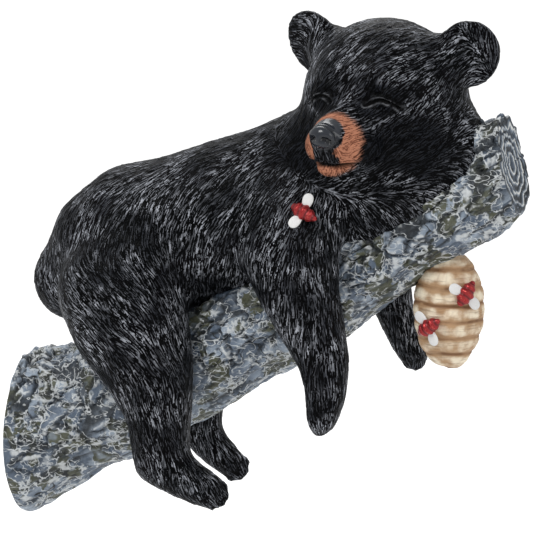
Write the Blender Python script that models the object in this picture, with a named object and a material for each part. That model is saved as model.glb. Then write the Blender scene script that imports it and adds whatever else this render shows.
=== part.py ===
"""Bear cub lying over a branch, with a hive under it and three bees: one resin casting.

The branch's thick end is cut flat and upright, to be fastened to a trunk or a wall.
Metres, +Z up. The origin is the middle of that flat face, +X runs away from the trunk,
and the cub's face looks towards -Y.
"""

import math

import bmesh
import bpy
from mathutils import Matrix, Vector, geometry, noise

# Branch
BRANCH_REACH = 0.294  # trunk face to the middle of the sawn tip, along X
BRANCH_RISE = 0.175  # how far the tip's middle stands above the trunk face's middle
BRANCH_SAG = 0.0095  # dip of the middle line below a straight one, at mid length
BUTT_RADIUS = 0.039
TIP_RADIUS = 0.026
BUTT_FLARE = 0.0065  # extra radius where the branch meets the trunk
FLARE_LENGTH = 0.018
BUTT_ROUND = 0.004  # rounding round the trunk face
TIP_ROUND = 0.0015
LEAN_LENGTH = 0.035  # over this length from an end, the bark's rings turn to lie square
TIP_TILT = math.radians(12.5)  # the sawn tip looks up by this much
BARK_RELIEF = 0.0036
BRANCH_SIDES = 36
BRANCH_RINGS = 36
GROWTH_RINGS = 2
GROWTH_RING_DEPTH = 0.0008

# Cub: its places and radii below are in shares of its length
CUB_LENGTH = 0.250
CUB_SHARES = 250
MASS_VOXEL_SHARE = 3.6  # grain of the skin that joins the big masses, in the same shares
SKIN_VOXEL_SHARE = 1.8
CUB_TRIANGLES = 5000
LOCK_RELIEF = 0.9  # height of the coarse locks, in shares, and their width and length
LOCK_WIDTH = 9
LOCK_LENGTH = 26
HEAD_TURN = math.radians(-11.5)  # face turned towards the trunk
HEAD_NOD = math.radians(5)

# Hive
HIVE_HEIGHT = 0.0675
HIVE_RADIUS = 0.0205
HIVE_BANDS = 7
BAND_RELIEF = 0.0011
HIVE_FROM_TIP = 0.0365
HIVE_X = BRANCH_REACH - HIVE_FROM_TIP
HIVE_SINK = 0.002  # how far its top goes into the branch
HIVE_SIDES = 20
STUB_RADIUS = 0.010  # the knot that the hive hangs from

# Bees
BEE_LENGTH = 0.0165
BEE_RADIUS = 0.0042
BEE_RIBS = 4
BEE_SINK = 0.0016
BEE_VOXEL = 0.0009
BEE_TRIANGLES = 300
WING_LENGTH = 0.0100
WING_WIDTH = 0.0074
WING_THICKNESS = 0.0024
WING_SPREAD = math.radians(105)  # from the tail of the bee to each wing

C = CUB_LENGTH / CUB_SHARES

# Paints: colour, roughness and metallic
PAINTS = {
    "slate_bark": ((0.20, 0.25, 0.31), 0.6, 0.0),
    "black_fur": ((0.012, 0.012, 0.014), 0.35, 0.0),
    "tan_muzzle": ((0.52, 0.19, 0.08), 0.5, 0.0),
    "glossy_nose": ((0.02, 0.023, 0.03), 0.15, 0.0),
    "straw_hive": ((0.62, 0.43, 0.25), 0.6, 0.0),
    "red_bee": ((0.30, 0.01, 0.02), 0.3, 0.4),
    "white_wing": ((0.85, 0.85, 0.84), 0.4, 0.0),
}
SMOOTH_UP_TO = math.radians(50)  # edges sharper than this stay crisp


def clear_scene():
    for obj in list(bpy.data.objects):
        bpy.data.objects.remove(obj)


def branch_middle(x):
    """Height of the branch's middle line at this distance from the trunk."""
    t = x / BRANCH_REACH
    return BRANCH_RISE * t - 4 * BRANCH_SAG * t * (1 - t)


def branch_slope(x):
    t = x / BRANCH_REACH
    return (BRANCH_RISE - 4 * BRANCH_SAG * (1 - 2 * t)) / BRANCH_REACH


def branch_radius(x):
    t = x / BRANCH_REACH
    flare = BUTT_FLARE * math.exp(-max(x, 0) / FLARE_LENGTH)
    return BUTT_RADIUS + (TIP_RADIUS - BUTT_RADIUS) * t + flare


def over(x, y, height):
    """A place above the branch: along X, across, and over the top of the bark, in cub shares."""
    x *= C
    return Vector((x, y * C, branch_middle(x) + branch_radius(x) + height * C))


def beside(side, x, outset, up):
    """A place beside the branch: outset from the bark, and above the middle line, in cub shares."""
    x *= C
    return Vector((x, side * (branch_radius(x) + outset * C), branch_middle(x) + up * C))


def ring_matrix(centre, tangent, half_width, half_height):
    """Places a unit circle across a path. Its width lies as near to Y as the path allows."""
    along = tangent.normalized()
    across = (Vector((0, 1, 0)) - along.y * along).normalized()
    upward = along.cross(across)
    columns = (across * half_width, upward * half_height, along, centre)
    return Matrix([[column[row] for column in columns] for row in range(3)] + [[0, 0, 0, 1]])


def loft(bm, rings, sides=24):
    """A closed skin through rings of (centre, half width, half height), with round ends."""
    centres = [ring[0] for ring in rings]
    loops = []
    for i, (centre, half_width, half_height) in enumerate(rings):
        tangent = centres[min(i + 1, len(rings) - 1)] - centres[max(i - 1, 0)]
        matrix = ring_matrix(centre, tangent, half_width, half_height)
        made = bmesh.ops.create_circle(bm, segments=sides, radius=1, matrix=matrix)
        loops.append(list({edge for vert in made["verts"] for edge in vert.link_edges}))
        if i in (0, len(rings) - 1):
            size = Matrix.Diagonal((1, 1, min(half_width, half_height), 1))
            bmesh.ops.create_uvsphere(
                bm, u_segments=sides, v_segments=12, radius=1, matrix=matrix @ size
            )
    for first, second in zip(loops, loops[1:]):
        bmesh.ops.bridge_loops(bm, edges=first + second)
    for end in (loops[0], loops[-1]):
        bmesh.ops.contextual_create(bm, geom=end)


def ball(bm, place, radii, turn=None, sides=24):
    """An ellipsoid, its radii along its own axes, turned by a rotation matrix."""
    matrix = Matrix.Translation(place) @ (turn or Matrix()) @ Matrix.Diagonal((*radii, 1))
    return bmesh.ops.create_uvsphere(
        bm, u_segments=sides, v_segments=sides * 2 // 3, radius=1, matrix=matrix
    )["verts"]


def paint(name):
    material = bpy.data.materials.get(name)
    if material is None:
        colour, roughness, metallic = PAINTS[name]
        material = bpy.data.materials.new(name)
        material.use_nodes = True
        shader = material.node_tree.nodes["Principled BSDF"]
        shader.inputs["Base Color"].default_value = (*colour, 1)
        shader.inputs["Roughness"].default_value = roughness
        shader.inputs["Metallic"].default_value = metallic
    return material


def coat_with(obj, paint_of, *names):
    """Paints each face with the paint that a function names for its middle."""
    mesh = obj.data
    mesh.materials.clear()
    for name in names:
        mesh.materials.append(paint(name))
    for face in mesh.polygons:
        face.material_index = names.index(paint_of(face.center))
    mesh.shade_smooth()
    mesh.set_sharp_from_angle(angle=SMOOTH_UP_TO)
    return obj


def object_of(name, bm):
    mesh = bpy.data.meshes.new(name)
    bmesh.ops.recalc_face_normals(bm, faces=bm.faces[:])
    bm.to_mesh(mesh)
    bm.free()
    obj = bpy.data.objects.new(name, mesh)
    bpy.context.scene.collection.objects.link(obj)
    return obj


def apply_modifiers(obj):
    graph = bpy.context.evaluated_depsgraph_get()
    mesh = bpy.data.meshes.new_from_object(obj.evaluated_get(graph))
    obj.modifiers.clear()
    obj.data = mesh
    return obj


def add_skin(obj, voxel, steps):
    """One closed skin round all the shapes in a mesh, with the creases between them softened."""
    skin = obj.modifiers.new("skin", "REMESH")
    skin.mode = "VOXEL"
    skin.voxel_size = voxel
    soften = obj.modifiers.new("soften", "SMOOTH")
    soften.factor = 0.5
    soften.iterations = steps


def thin_out(obj, triangles):
    """Leaves a skin of square faces about this many triangles."""
    fewer = obj.modifiers.new("fewer", "DECIMATE")
    fewer.ratio = triangles / (2 * len(obj.data.polygons))
    return apply_modifiers(obj)


def helper(obj):
    """Hides a shape that only takes part in a Boolean."""
    obj.hide_render = True
    obj.display_type = "WIRE"
    return obj


def add_boolean(obj, other, operation):
    modifier = obj.modifiers.new(f"{operation.lower()}_{other.name}", "BOOLEAN")
    modifier.operation = operation
    modifier.material_mode = "TRANSFER"
    modifier.object = helper(other)


# Cub

# Rings along the body: x, across, over the bark, half width, half height
TORSO = [
    (30, 0, 40.5, 26, 26),
    (45, 0, 47.5, 38, 38),
    (66, 0, 49.5, 46, 45),
    (98, 0, 40, 47, 46),
    (130, 0, 35, 45, 46),
    (158, 0, 31, 42, 44),
    (186, 0, 31, 39, 42),
    (208, -3, 19, 38, 46),
    (230, -4, 14, 37, 46),
    (250, -4, 12, 30, 38),
]
# Rings down a limb: x, outset from the bark, above the middle line, half width, half height
NEAR_HIND = [
    (70, -4, 62, 33, 38),
    (83, 8, 32, 29, 35),
    (96, 14, 1, 23, 27),
    (102, 17, -25, 18, 20),
    (103, 18, -47, 15, 17),
]
FAR_HIND = [
    (70, -4, 62, 33, 38),
    (79, 8, 32, 29, 34),
    (84, 12, 1, 22, 25),
    (87, 12, -24, 16, 18),
    (88, 11, -43, 14, 15),
]
NEAR_HIND_FOOT = [(101, 18, -50, 14.5, 15), (118, 19, -68.5, 13.5, 13), (133, 20, -83.5, 12.5, 11)]
FAR_HIND_FOOT = [(88, 11, -46, 13.5, 13), (100, 11, -65, 12, 11), (110, 11, -78, 11, 9.5)]
NEAR_ARM = [
    (168, -6, 52, 26, 32),
    (176, 6, 27, 24, 30),
    (185, 13, -3, 19, 23),
    (194, 16, -28, 15.5, 19),
    (200, 17, -48, 13.5, 15.5),
    (201, 18, -66, 12.5, 12.5),
    (199, 19, -77, 11.5, 10.5),
]
FAR_ARM = [
    (182, -6, 50, 26, 30),
    (194, 6, 24, 22, 24),
    (204, 13, -6, 17, 17),
    (210, 15, -36, 13.5, 12.5),
    (217, 16, -58, 12, 11),
    (222, 16, -71.5, 11, 9.5),
]
# Toes: how many, radius, and half the width they fan over
HIND_TOES = (4, 4.4, 7.0)
FORE_TOES = (4, 4.0, 6.2)

HEAD_PLACE = (221, -5, 53)  # x, across, over the bark
# Balls of the head: right, forward, up of the head's middle, then the three radii
SKULL = (0, 0, 0, 48.5, 44, 48)
CHEEK = (25, 6, -14, 26, 31, 28)
NECK = (5, -6, -28, 40, 36, 28)
SNOUT_SIDE = (9, 47, -15, 13.5, 17, 13)
CHIN = (0, 57, -25, 10.5, 11.5, 6)
NOSE = (0, 70, -5.5, 8.4, 6.5, 7.2)
EYELID = (18.5, 37.5, 10, 8.5, 4.5, 5.5)
EYELID_TILT = math.radians(15)
# Rings of the muzzle: forward, up, half width, half height
MUZZLE = [(20, -7, 33, 28), (38, -9, 23, 21.5), (53, -11, 17, 17), (65, -11.5, 14, 14)]
EAR_ROOT = (38, -7, 25, 17, 11, 17)
EAR = (49, -7, 28.5, 18.5, 10, 21)
EAR_LEAN = math.radians(38)
EAR_DISH = 6

# Lines cut into the face, in the head's axes: right, forward, up
MOUTH = [(24, 44, -19), (18, 54, -22), (9, 66, -22.5), (0, 70, -22)]
LIP_CLEFT = [(0, 75, -13), (0, 72, -22)]
EYE_LINE = [(10, 43, 7), (15, 43, 5), (21, 41, 5), (28, 37, 7)]
TAN_FROM = 52  # the muzzle is tan from here forward
TAN_RADIUS = 23
LINE_WIDTH = 1.6
LINE_DEPTH = 1.8

TAIL = [(20, 0, 57, 10, 11), (15, 0, 45, 9, 9), (14, 0, 37, 8, 8)]

# Bees. On the cub: a place beside it that looks along Y at the coat, as x, across, over the bark
SHOULDER_BEE = (188, -110, 14)
SHOULDER_BEE_HEADING = (0.9, 0.0, -0.45)
# On the hive: the way they face round it, height as a share of the hive's, and heading
HIVE_BEES = [
    ((0.68, -0.73), 0.685, (0.45, 0.35, 0.75)),
    ((-0.21, -0.978), 0.41, (0.80, -0.2, 0.55)),
]


def head_matrix():
    turn = (
        Matrix.Rotation(HEAD_TURN, 4, "Z") @ Matrix.Rotation(HEAD_NOD, 4, "X")
    )
    return Matrix.Translation(over(*HEAD_PLACE)) @ turn


def head_ball(bm, shape, side=1, lean=0.0):
    """A ball given as right, forward, up and three radii, in the head's own axes."""
    right, forward, up, *radii = shape
    local = Matrix.Translation(Vector((side * right, -forward, up)) * C)
    turn = Matrix.Rotation(side * lean, 4, "Y")
    return ball(bm, (0, 0, 0), [r * C for r in radii], head_matrix() @ local @ turn)


def head_place(right, forward, up):
    return head_matrix() @ (Vector((right, -forward, up)) * C)


def over_rings(rows):
    return [(over(x, y, h), width * C, height * C) for x, y, h, width, height in rows]


def beside_rings(side, rows):
    return [(beside(side, x, out, up), width * C, height * C) for x, out, up, width, height in rows]


def add_toes(bm, rings, toes):
    """Toes fanned across the end of a paw."""
    count, radius, fan = toes
    end, before = rings[-1][0], rings[-2][0]
    along = (end - before).normalized()
    across = Vector((0, 1, 0))
    for i in range(count):
        share = 2 * i / (count - 1) - 1
        reach = rings[-1][2] * (0.75 - 0.3 * share * share)
        place = end + along * reach + across * share * fan * C
        ball(bm, place, [radius * C] * 3, sides=12)


def add_ear(bm, side):
    """A rounded ear with a shallow dish in its front."""
    right, forward, up, width, depth, height = EAR
    local = Matrix.Translation(Vector((side * right, -forward, up)) * C)
    turn = Matrix.Rotation(side * EAR_LEAN, 4, "Y") @ Matrix.Rotation(side * 0.25, 4, "Z")
    frame = head_matrix() @ local @ turn
    made = bmesh.ops.create_uvsphere(bm, u_segments=24, v_segments=16, radius=1)["verts"]
    for vert in made:
        x, y, z = vert.co
        rim = min(1.0, math.hypot(x, z))
        dish = EAR_DISH * (1 - rim ** 3) if y < 0 else 0
        vert.co = frame @ (Vector((x * width, y * depth + dish, z * height)) * C)


def add_muzzle(bm):
    """The muzzle's rings, with a round end under the nose."""
    loops = []
    for forward, up, half_width, half_height in MUZZLE:
        size = Matrix.Diagonal((half_width * C, half_height * C, 1, 1))
        place = Matrix.Translation(Vector((0, -forward, up)) * C)
        matrix = head_matrix() @ place @ Matrix.Rotation(math.pi / 2, 4, "X") @ size
        made = bmesh.ops.create_circle(bm, segments=24, radius=1, matrix=matrix)
        loops.append(list({edge for vert in made["verts"] for edge in vert.link_edges}))
    for first, second in zip(loops, loops[1:]):
        bmesh.ops.bridge_loops(bm, edges=first + second)
    for end in (loops[0], loops[-1]):
        bmesh.ops.contextual_create(bm, geom=end)
    head_ball(bm, (0, forward, up, half_width, 6, half_height))


def distance_to(path, place):
    """Distance from a place to the nearest point of a path of straight pieces."""
    nearest = math.inf
    for start, end in zip(path, path[1:]):
        foot, share = geometry.intersect_point_line(place, start, end)
        foot = start if share < 0 else end if share > 1 else foot
        nearest = min(nearest, (place - foot).length)
    return nearest


def push_out(mesh, height):
    """Moves each vertex along its normal by what a function gives for its place."""
    moves = [vert.normal * height(vert.co) for vert in mesh.vertices]
    for vert, move in zip(mesh.vertices, moves):
        vert.co += move


def line_cut(path):
    """A round-bottomed line along a path, as a height function."""
    return lambda place: -LINE_DEPTH * C * math.exp(-((distance_to(path, place) / LINE_WIDTH / C) ** 2))


def face_lines():
    for side in (-1, 1):
        for line in (MOUTH, EYE_LINE):
            yield [head_place(side * right, forward, up) for right, forward, up in line]
    yield [head_place(*point) for point in LIP_CLEFT]


def face_paint(place):
    """The nose and the end of the muzzle have their own paints."""
    right, back, up = head_matrix().inverted() @ place / C
    forward = -back
    if math.hypot(right / 1.2, up - NOSE[2]) < NOSE[5] and forward > NOSE[1] - 2:
        return "glossy_nose"
    if forward > TAN_FROM and math.hypot(right, up + 12) < TAN_RADIUS:
        return "tan_muzzle"
    return "black_fur"


def lock_height(place):
    """Coarse locks of the coat, which hang down the body and fade out towards the muzzle."""
    away = (place - head_place(0, 60, 0)).length / C
    bare = min(1, max(0, (away - 30) / 25))
    x, y, z = place / C
    lock = noise.noise(Vector((x / LOCK_WIDTH, y / LOCK_WIDTH, z / LOCK_LENGTH)))
    return lock * bare * LOCK_RELIEF * C


def cub_masses():
    """The body, limbs and skull, run together softly."""
    bm = bmesh.new()
    loft(bm, over_rings(TORSO))
    for side, hind, foot, arm in (
        (-1, NEAR_HIND, NEAR_HIND_FOOT, NEAR_ARM),
        (1, FAR_HIND, FAR_HIND_FOOT, FAR_ARM),
    ):
        loft(bm, beside_rings(side, hind))
        loft(bm, beside_rings(side, foot))
        loft(bm, beside_rings(side, arm))
        head_ball(bm, CHEEK, side)
    for shape in (SKULL, NECK):
        head_ball(bm, shape)
    for side in (-1, 1):
        head_ball(bm, EAR_ROOT, side)
    add_muzzle(bm)
    loft(bm, over_rings(TAIL))
    masses = object_of("cub_masses", bm)
    add_skin(masses, MASS_VOXEL_SHARE * C, 10)
    return apply_modifiers(masses)


def cub():
    """The whole cub: the soft masses with its face, ears and toes, as one closed skin."""
    masses = cub_masses()
    bm = bmesh.new()
    bm.from_mesh(masses.data)
    bpy.data.objects.remove(masses)
    for shape in (CHIN, NOSE):
        head_ball(bm, shape)
    for side in (-1, 1):
        add_ear(bm, side)
        head_ball(bm, EYELID, side, EYELID_TILT)
        head_ball(bm, SNOUT_SIDE, side)
    for side, foot, arm in ((-1, NEAR_HIND_FOOT, NEAR_ARM), (1, FAR_HIND_FOOT, FAR_ARM)):
        add_toes(bm, beside_rings(side, foot), HIND_TOES)
        add_toes(bm, beside_rings(side, arm), FORE_TOES)
    skin = object_of("cub", bm)
    add_skin(skin, SKIN_VOXEL_SHARE * C, 3)
    apply_modifiers(skin)
    push_out(skin.data, lock_height)
    for path in face_lines():
        push_out(skin.data, line_cut(path))
    thin_out(skin, CUB_TRIANGLES)
    return coat_with(skin, face_paint, "black_fur", "tan_muzzle", "glossy_nose")


# Branch


def bark_relief(x, angle):
    """The bark's long low ridges and lumps."""
    place = Vector((x / 0.022, 1.5 * math.cos(angle), 1.5 * math.sin(angle)))
    ridges = Vector((x / 0.030, 3.6 * math.cos(angle), 3.6 * math.sin(angle)))
    return BARK_RELIEF * (noise.noise(place) + 0.8 * noise.noise(ridges))


def ring_lean(x):
    """How far a ring's plane leans: upright at the trunk, as the saw cut at the tip."""
    slope = math.atan(branch_slope(x))
    from_trunk = min(1, x / LEAN_LENGTH)
    from_tip = min(1, (BRANCH_REACH - x) / LEAN_LENGTH)
    return slope * from_trunk * from_tip + TIP_TILT * (1 - from_tip)


def bark_ring(bm, x, inset, relief):
    """A ring of the branch's skin round its middle line, drawn in by an inset."""
    lean = ring_lean(x)
    normal = Vector((math.cos(lean), 0, math.sin(lean)))
    stretch = 1 / math.cos(math.atan(branch_slope(x)) - lean)
    matrix = ring_matrix(Vector((x, 0, branch_middle(x))), normal, 1, 1)
    made = bmesh.ops.create_circle(bm, segments=BRANCH_SIDES, radius=1)["verts"]
    for vert in made:
        angle = math.atan2(vert.co.y, vert.co.x)
        radius = branch_radius(x) + relief * bark_relief(x, angle) - inset
        vert.co = matrix @ Vector((vert.co.x * radius, vert.co.y * radius * stretch, 0))
    return list({edge for vert in made for edge in vert.link_edges})


def branch():
    bm = bmesh.new()
    loops = [
        bark_ring(bm, 0, BUTT_ROUND, 0),
        bark_ring(bm, BUTT_ROUND * 0.3, BUTT_ROUND * 0.3, 0.5),
        bark_ring(bm, BUTT_ROUND, 0, 1),
    ]
    for i in range(1, BRANCH_RINGS):
        loops.append(bark_ring(bm, BRANCH_REACH * i / BRANCH_RINGS, 0, 1))
    loops.append(bark_ring(bm, BRANCH_REACH - TIP_ROUND * 0.3, TIP_ROUND * 0.3, 1))
    loops.append(bark_ring(bm, BRANCH_REACH, TIP_ROUND, 1))
    for first, second in zip(loops, loops[1:]):
        bmesh.ops.bridge_loops(bm, edges=first + second)
    bmesh.ops.contextual_create(bm, geom=loops[0])
    tip = bmesh.ops.contextual_create(bm, geom=loops[-1])["faces"][0]
    saw_rings(bm, tip)
    return coat_with(object_of("branch", bm), lambda place: "slate_bark", "slate_bark")


def saw_rings(bm, face):
    """Growth rings: grooves let into the sawn face, one inside the other."""
    middle = Vector((BRANCH_REACH, 0, BRANCH_RISE))
    inward = Vector((-math.cos(TIP_TILT), 0, -math.sin(TIP_TILT)))
    step = 0.8 / GROWTH_RINGS
    radius = 1.0
    for ring in range(GROWTH_RINGS):
        for share, sink in ((0.35, 0), (0.5, 1), (0.85, 1), (1.0, 0)):
            grown = 1 - (ring + share) * step
            made = bmesh.ops.extrude_face_region(bm, geom=[face])["geom"]
            bmesh.ops.delete(bm, geom=[face], context="FACES_ONLY")
            face = next(item for item in made if isinstance(item, bmesh.types.BMFace))
            for vert in face.verts:
                flat = middle + (vert.co - middle) * (grown / radius)
                depth = (flat - middle).dot(inward)
                vert.co = flat + inward * (sink * GROWTH_RING_DEPTH - depth)
            radius = grown


# Hive


def hive_profile():
    """Half of the hive's upright section, from the bottom up: (radius, height over the bottom)."""
    steps = HIVE_BANDS * 3
    points = []
    for i in range(1, steps):
        t = i / steps
        egg = math.sin(math.pi * t ** 1.06) ** 0.38
        crown = (0.0, 1.0, 0.75)[i % 3]
        points.append((max(HIVE_RADIUS * egg - BAND_RELIEF * (1 - crown), 0.002), HIVE_HEIGHT * t))
    return [(0, 0.0)] + points + [(0, HIVE_HEIGHT)]


def hive_bottom():
    top = branch_middle(HIVE_X) - branch_radius(HIVE_X) + HIVE_SINK
    return top - HIVE_HEIGHT


def hive():
    bm = bmesh.new()
    verts = [bm.verts.new((radius, 0, height)) for radius, height in hive_profile()]
    edges = [bm.edges.new(pair) for pair in zip(verts, verts[1:])]
    bmesh.ops.spin(
        bm, geom=verts + edges, cent=(0, 0, 0), axis=(0, 0, 1), angle=2 * math.pi,
        steps=HIVE_SIDES, use_merge=True,
    )
    bmesh.ops.remove_doubles(bm, verts=bm.verts[:], dist=1e-6)
    bmesh.ops.translate(bm, verts=bm.verts[:], vec=(HIVE_X, 0, hive_bottom()))
    return coat_with(object_of("hive", bm), lambda place: "straw_hive", "straw_hive")


def hive_stub():
    """The knot of wood that the hive is built round."""
    bm = bmesh.new()
    top = Vector((HIVE_X, 0, branch_middle(HIVE_X)))
    bottom = Vector((HIVE_X, 0, hive_bottom() + HIVE_HEIGHT * 0.75))
    bmesh.ops.create_cone(
        bm, cap_ends=True, segments=16, radius1=STUB_RADIUS, radius2=STUB_RADIUS * 1.3,
        depth=(top - bottom).length, matrix=Matrix.Translation((top + bottom) / 2),
    )
    return coat_with(object_of("hive_stub", bm), lambda place: "slate_bark", "slate_bark")


# Bees


def add_bee(bm, place, outward, heading):
    """A ribbed body lying on a surface, with a wing to each side."""
    outward = outward.normalized()
    along = (heading - heading.dot(outward) * outward).normalized()
    across = outward.cross(along)
    place = place + outward * (BEE_RADIUS - BEE_SINK)
    columns = (along, across, outward, place)
    frame = Matrix([[column[row] for column in columns] for row in range(3)] + [[0, 0, 0, 1]])
    body = bmesh.ops.create_uvsphere(
        bm, u_segments=10, v_segments=2 * BEE_RIBS + 2, radius=1,
        matrix=Matrix.Rotation(math.pi / 2, 4, "Y"),
    )["verts"]
    for vert in body:
        x, y, z = vert.co
        rib = 1 + 0.09 * math.cos(2 * math.pi * BEE_RIBS * (x + 1) / 2)
        taper = 1 - 0.25 * x * x - 0.12 * x
        girth = BEE_RADIUS * rib * taper
        vert.co = frame @ Vector((x * BEE_LENGTH / 2, y * girth, z * girth))
    for side in (-1, 1):
        turn = Matrix.Rotation(side * WING_SPREAD, 4, "Z")
        reach = Matrix.Translation((WING_LENGTH * 0.62, 0, 0))
        size = Matrix.Diagonal((WING_LENGTH / 2, WING_WIDTH / 2, WING_THICKNESS / 2, 1))
        bmesh.ops.create_uvsphere(
            bm, u_segments=10, v_segments=6, radius=1, matrix=frame @ turn @ reach @ size
        )


def bee_paint(place, heading):
    """Red along the body's middle line, white beyond it."""
    along = heading.normalized() * BEE_LENGTH
    line = (place - along, place + along)
    return lambda spot: "red_bee" if distance_to(line, spot) < BEE_RADIUS * 1.5 else "white_wing"


def bees(coat):
    """One bee on the cub's near shoulder, two on the hive."""
    swarm = []
    hit, place, outward, _ = coat.ray_cast(over(*SHOULDER_BEE), Vector((0, 1, 0)))
    if not hit:
        raise RuntimeError("The shoulder bee misses the cub")
    swarm.append((place, outward, Vector(SHOULDER_BEE_HEADING)))
    for (east, north), share, heading in HIVE_BEES:
        radius = max(r for r, z in hive_profile() if abs(z / HIVE_HEIGHT - share) < 0.06)
        around = Vector((east, north, 0)).normalized()
        place = Vector((HIVE_X, 0, hive_bottom() + HIVE_HEIGHT * share)) + around * radius
        lean = Vector((0, 0, 0.8 * (share - 0.5)))
        swarm.append((place, around + lean, Vector(heading)))
    made = []
    for number, (place, outward, heading) in enumerate(swarm, 1):
        bm = bmesh.new()
        add_bee(bm, place, outward, heading)
        bee = object_of(f"bee_{number}", bm)
        add_skin(bee, BEE_VOXEL, 0)
        apply_modifiers(bee)
        thin_out(bee, BEE_TRIANGLES)
        made.append(coat_with(bee, bee_paint(place, heading), "red_bee", "white_wing"))
    return made


def assemble():
    figure = branch()
    figure.name = "bear_cub_on_branch"
    coat = cub()
    for other in (hive_stub(), hive(), coat, *bees(coat)):
        add_boolean(figure, other, "UNION")
    return figure


def main():
    clear_scene()
    assemble()


main()
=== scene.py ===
"""Bear cub asleep over a branch, with a hive and three bees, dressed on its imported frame.

Metres, +Z up, in the frame's own axes. The branch's cut face lies at X = 0, the branch runs
towards +X, and the cub's face looks towards -Y.
"""

import math

import bmesh
import bpy
import numpy as np
from bpy.props import FloatProperty, FloatVectorProperty, IntProperty, PointerProperty
from mathutils import Matrix, Vector, kdtree, noise


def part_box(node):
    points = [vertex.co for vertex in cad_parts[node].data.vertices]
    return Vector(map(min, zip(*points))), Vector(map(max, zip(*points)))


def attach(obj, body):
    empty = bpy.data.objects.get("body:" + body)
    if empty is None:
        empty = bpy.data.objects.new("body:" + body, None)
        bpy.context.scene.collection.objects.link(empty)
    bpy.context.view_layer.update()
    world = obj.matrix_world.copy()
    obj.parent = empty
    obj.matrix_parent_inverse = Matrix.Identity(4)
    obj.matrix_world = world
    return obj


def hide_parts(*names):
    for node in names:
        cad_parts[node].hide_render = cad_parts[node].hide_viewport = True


bl_info = {
    "name": "Bear cub on a branch",
    "version": (1, 0, 0),
    "blender": (4, 5, 0),
    "location": "View3D > Sidebar > Bear cub",
    "description": "Builds the coat, bark, hive and bees of a cast and painted bear cub",
    "category": "Object",
}

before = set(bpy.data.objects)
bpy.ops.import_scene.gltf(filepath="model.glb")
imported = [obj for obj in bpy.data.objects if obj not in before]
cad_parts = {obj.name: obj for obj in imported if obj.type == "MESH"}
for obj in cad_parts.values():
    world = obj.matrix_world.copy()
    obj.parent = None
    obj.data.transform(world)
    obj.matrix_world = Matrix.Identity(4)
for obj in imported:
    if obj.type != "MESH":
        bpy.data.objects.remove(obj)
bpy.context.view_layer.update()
FIGURE = "bear_cub_on_branch"
LOW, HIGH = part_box(FIGURE)
SIZE = (HIGH.x - LOW.x) / 0.300  # this figure's size, against 30 cm across
MM = 0.001 * SIZE  # one millimetre of a figure 30 cm across
WELD = 2e-6 * SIZE  # vertices nearer than this are one

# The cub, in millimetres of a figure 30 cm across
# Rings along the body: x, across, over the bark, half width, half height
TORSO = [
    (30, 0, 40.5, 26, 26),
    (45, 0, 47.5, 38, 38),
    (66, 0, 49.5, 46, 45),
    (98, 0, 40, 47, 46),
    (130, 0, 35, 45, 46),
    (158, 0, 31, 42, 44),
    (186, 0, 31, 39, 42),
    (208, -3, 19, 38, 46),
    (230, -4, 14, 37, 46),
    (250, -4, 12, 30, 38),
]
# Rings down a limb: x, outset from the bark, above the middle line, half width, half height
NEAR_HIND = [
    (70, -4, 62, 33, 38),
    (83, 8, 32, 29, 35),
    (96, 14, 1, 23, 27),
    (102, 17, -25, 18, 20),
    (103, 18, -47, 15, 17),
]
FAR_HIND = [
    (70, -4, 62, 33, 38),
    (79, 8, 32, 29, 34),
    (84, 12, 1, 22, 25),
    (87, 12, -24, 16, 18),
    (88, 11, -43, 14, 15),
]
NEAR_HIND_FOOT = [(101, 18, -50, 14.5, 15), (118, 19, -68.5, 13.5, 13), (133, 20, -83.5, 12.5, 11)]
FAR_HIND_FOOT = [(88, 11, -46, 13.5, 13), (100, 11, -65, 12, 11), (110, 11, -78, 11, 9.5)]
NEAR_ARM = [
    (168, -6, 52, 26, 32),
    (176, 6, 27, 24, 30),
    (185, 13, -3, 19, 23),
    (194, 16, -28, 15.5, 19),
    (200, 17, -48, 13.5, 15.5),
    (201, 18, -66, 12.5, 12.5),
    (199, 19, -77, 11.5, 10.5),
]
FAR_ARM = [
    (182, -6, 50, 26, 30),
    (194, 6, 24, 22, 24),
    (204, 13, -6, 17, 17),
    (210, 15, -36, 13.5, 12.5),
    (217, 16, -58, 12, 11),
    (222, 16, -71.5, 11, 9.5),
]
# Toes: how many, radius, and half the width they fan over
HIND_TOES = (4, 3.6, 6.0)
FORE_TOES = (4, 3.2, 5.0)
TOE_TURN = (0.85, 0.5)  # how far the fan lies in the plane of the leg, and across it
TOE_REACH = (0.85, 0.35)  # as shares of the paw: the middle toes, and how much less the outer
TAIL = [(20, 0, 57, 10, 11), (15, 0, 45, 9, 9), (14, 0, 37, 8, 8)]

HEAD_PLACE = (221, -5, 53)  # x, across, over the bark
# Balls of the head: right, forward, up of the head's middle, then the three radii
SKULL = (0, 0, 0, 48.5, 44, 48)
CHEEK = (25, 6, -14, 26, 31, 28)
NECK = (5, -6, -28, 40, 36, 28)
SNOUT_SIDE = (9, 47, -15, 13.5, 17, 13)
CHIN = (0, 57, -25, 10.5, 11.5, 6)
NOSE = (0, 70, -5.5, 8.4, 6.5, 7.2)
EYELID = (19.5, 2.0, 9.5, 9.0, 4.8, 5.4)  # its forward place is how deep it lies in the face
EYELID_TILT = math.radians(20)
# Rings of the muzzle: forward, up, half width, half height
MUZZLE = [(20, -7, 33, 28), (38, -9, 23, 21.5), (53, -11, 17, 17), (65, -11.5, 14, 14)]
EAR_ROOT = (38, -7, 25, 17, 11, 17)
EAR = (49, -7, 28.5, 18.5, 10, 21)
EAR_LEAN = math.radians(38)
EAR_DISH = 6

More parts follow.
